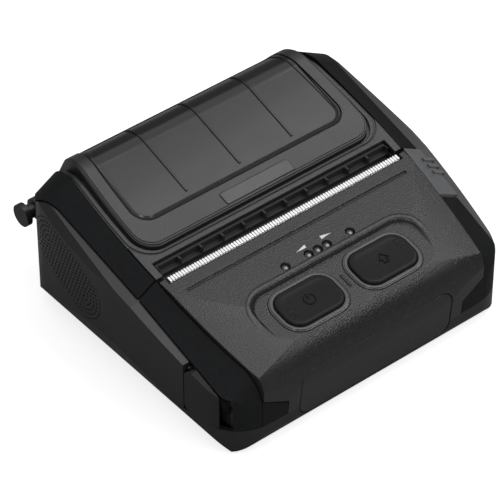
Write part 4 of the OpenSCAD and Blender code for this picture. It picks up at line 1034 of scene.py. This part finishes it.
class PRINTER_OT_stage(bpy.types.Operator):
    """Build the floor, the lights and the camera"""
    bl_idname = "printer.stage"
    bl_label = "Studio"

    def execute(self, context):
        s = studio()
        scene = context.scene
        scene.view_settings.view_transform = "Standard"
        bm = bmesh.new()
        bmesh.ops.create_grid(bm, x_segments=1, y_segments=1, size=FLOOR_HALF)
        new_object(bm, "floor", self.floor_material(s.floor_lift))
        self.room(scene, s.dome)
        for name, direction, distance, size, power, level in LAMPS:
            self.lamp(name, direction, distance, size, getattr(s, power), level)
        if s.use_cards:
            self.cards()
        self.camera(scene)
        return {"FINISHED"}

    def seen(self, tree):
        """Mask that is 1 for what the camera, gloss and glass see."""
        path = node(tree, "LightPath")
        first = maths(tree, "MAXIMUM", path.outputs["Is Camera Ray"], path.outputs["Is Glossy Ray"])
        return maths(tree, "MAXIMUM", first, path.outputs["Is Transmission Ray"])

    def floor_material(self, lift):
        made = bpy.data.materials.new("pale floor")
        made.use_nodes = True
        tree = made.node_tree
        shader = tree.nodes["Principled BSDF"]
        shader.inputs["Base Color"].default_value = (0.62, 0.62, 0.62, 1)
        shader.inputs["Roughness"].default_value = 0.9
        shader.inputs["Specular IOR Level"].default_value = 0.1
        glow = node(tree, "Emission")
        glow.inputs["Color"].default_value = (1, 1, 1, 1)
        tree.links.new(maths(tree, "MULTIPLY", self.seen(tree), lift), glow.inputs["Strength"])
        both = node(tree, "AddShader")
        tree.links.new(shader.outputs[0], both.inputs[0])
        tree.links.new(glow.outputs[0], both.inputs[1])
        tree.links.new(both.outputs[0], tree.nodes["Material Output"].inputs["Surface"])
        return made

    def room(self, scene, strength):
        world = bpy.data.worlds.new("room")
        scene.world = world
        world.use_nodes = True
        tree = world.node_tree
        ground = tree.nodes["Background"]
        ground.inputs["Color"].default_value = (1, 1, 1, 1)
        level = spread(tree, self.seen(tree), strength, 1.0)
        tree.links.new(level, ground.inputs["Strength"])

    def lamp(self, name, direction, distance, size, power, level):
        data = bpy.data.lights.new(name, "AREA")
        data.shape = "RECTANGLE"
        data.size, data.size_y = size
        data.energy = power
        lamp = bpy.data.objects.new(name, data)
        bpy.context.scene.collection.objects.link(lamp)
        way = Vector(direction).normalized()
        lamp.location = Vector((0, 0, LAMP_AIM_Z)) + way * distance
        side = Vector((0, 0, 1) if level else (0, 1, 0)).cross(way).normalized()
        lamp.rotation_euler = Matrix((side, way.cross(side), way)).transposed().to_euler()

    def cards(self):
        """Dark cards in a ring: only gloss sees them, so black plastic keeps deep tones."""
        dark = bpy.data.materials.new("dark card")
        dark.use_nodes = True
        shader = dark.node_tree.nodes["Principled BSDF"]
        shader.inputs["Base Color"].default_value = (0.3, 0.3, 0.3, 1)
        shader.inputs["Roughness"].default_value = 1.0
        bm = bmesh.new()
        bmesh.ops.create_cone(
            bm, cap_ends=False, segments=48, radius1=CARD_RING_BOTTOM_R,
            radius2=CARD_RING_TOP_R, depth=CARD_RING_HEIGHT)
        bmesh.ops.translate(bm, vec=(0, 0, CARD_RING_Z), verts=bm.verts)
        bmesh.ops.reverse_faces(bm, faces=bm.faces)
        bmesh.ops.create_circle(
            bm, cap_ends=True, segments=48, radius=CARD_DISC_R,
            matrix=Matrix.Translation((0, 0, CARD_DISC_Z)))
        ring = new_object(bm, "dark_cards", dark)
        ring.visible_camera = False
        ring.visible_diffuse = False
        ring.visible_shadow = False
        ring.visible_transmission = False

    def camera(self, scene):
        """Camera at the height and side from which the printer was photographed."""
        side, rise = math.radians(CAMERA_SIDE), math.radians(CAMERA_RISE)
        reach = math.cos(rise)
        back = Vector((math.sin(side) * reach, -math.cos(side) * reach, math.sin(rise)))
        right = Vector((math.cos(side), math.sin(side), 0))
        up = back.cross(right)
        aim = Vector((0, 0, CAMERA_AIM_Z)) + right * CAMERA_RIGHT + up * CAMERA_UP
        spot = (back * CAMERA_DISTANCE + aim) * CAMERA_SCALE + Vector(CAMERA_SHIFT)
        data = bpy.data.cameras.new("camera")
        data.sensor_width = SENSOR_MM
        data.lens = FOCAL_PIXELS / PHOTO_PIXELS * SENSOR_MM
        data.clip_start = 0.05
        data.clip_end = 50
        camera = bpy.data.objects.new("camera", data)
        scene.collection.objects.link(camera)
        turn = Matrix((right, up, back)).transposed().to_4x4()
        camera.matrix_world = Matrix.Translation(spot * MM) @ turn
        scene.camera = camera


class PRINTER_PT_panel(bpy.types.Panel):
    """Sizes, colours and steps of the printer"""
    bl_label = "Printer"
    bl_idname = "PRINTER_PT_panel"
    bl_space_type = "VIEW_3D"
    bl_region_type = "UI"
    bl_category = "Printer"

    def draw(self, context):
        layout = self.layout
        for group in (look(), keys(), studio()):
            box = layout.box()
            for name in group.__annotations__:
                box.prop(group, name)
        for step in STEPS:
            layout.operator(step.bl_idname)


GROUPS = (PrinterLook, PrinterKeys, PrinterStudio)
STEPS = (
    PRINTER_OT_covers,
    PRINTER_OT_shoulders,
    PRINTER_OT_window,
    PRINTER_OT_lever,
    PRINTER_OT_mechanism,
    PRINTER_OT_tear_bar,
    PRINTER_OT_electronics,
    PRINTER_OT_bezels,
    PRINTER_OT_buttons,
    PRINTER_OT_lights,
    PRINTER_OT_marks,
    PRINTER_OT_field_rim,
    PRINTER_OT_stage,
)


def register():
    for made in GROUPS + STEPS + (PRINTER_PT_panel,):
        bpy.utils.register_class(made)
    bpy.types.Scene.printer_look = PointerProperty(type=PrinterLook)
    bpy.types.Scene.printer_keys = PointerProperty(type=PrinterKeys)
    bpy.types.Scene.printer_studio = PointerProperty(type=PrinterStudio)


def unregister():
    del bpy.types.Scene.printer_studio
    del bpy.types.Scene.printer_keys
    del bpy.types.Scene.printer_look
    for made in reversed(GROUPS + STEPS + (PRINTER_PT_panel,)):
        bpy.utils.unregister_class(made)


def main():
    register()
    for step in STEPS:
        group, name = step.bl_idname.split(".")
        getattr(getattr(bpy.ops, group), name)()


if __name__ == "__main__":
    main()
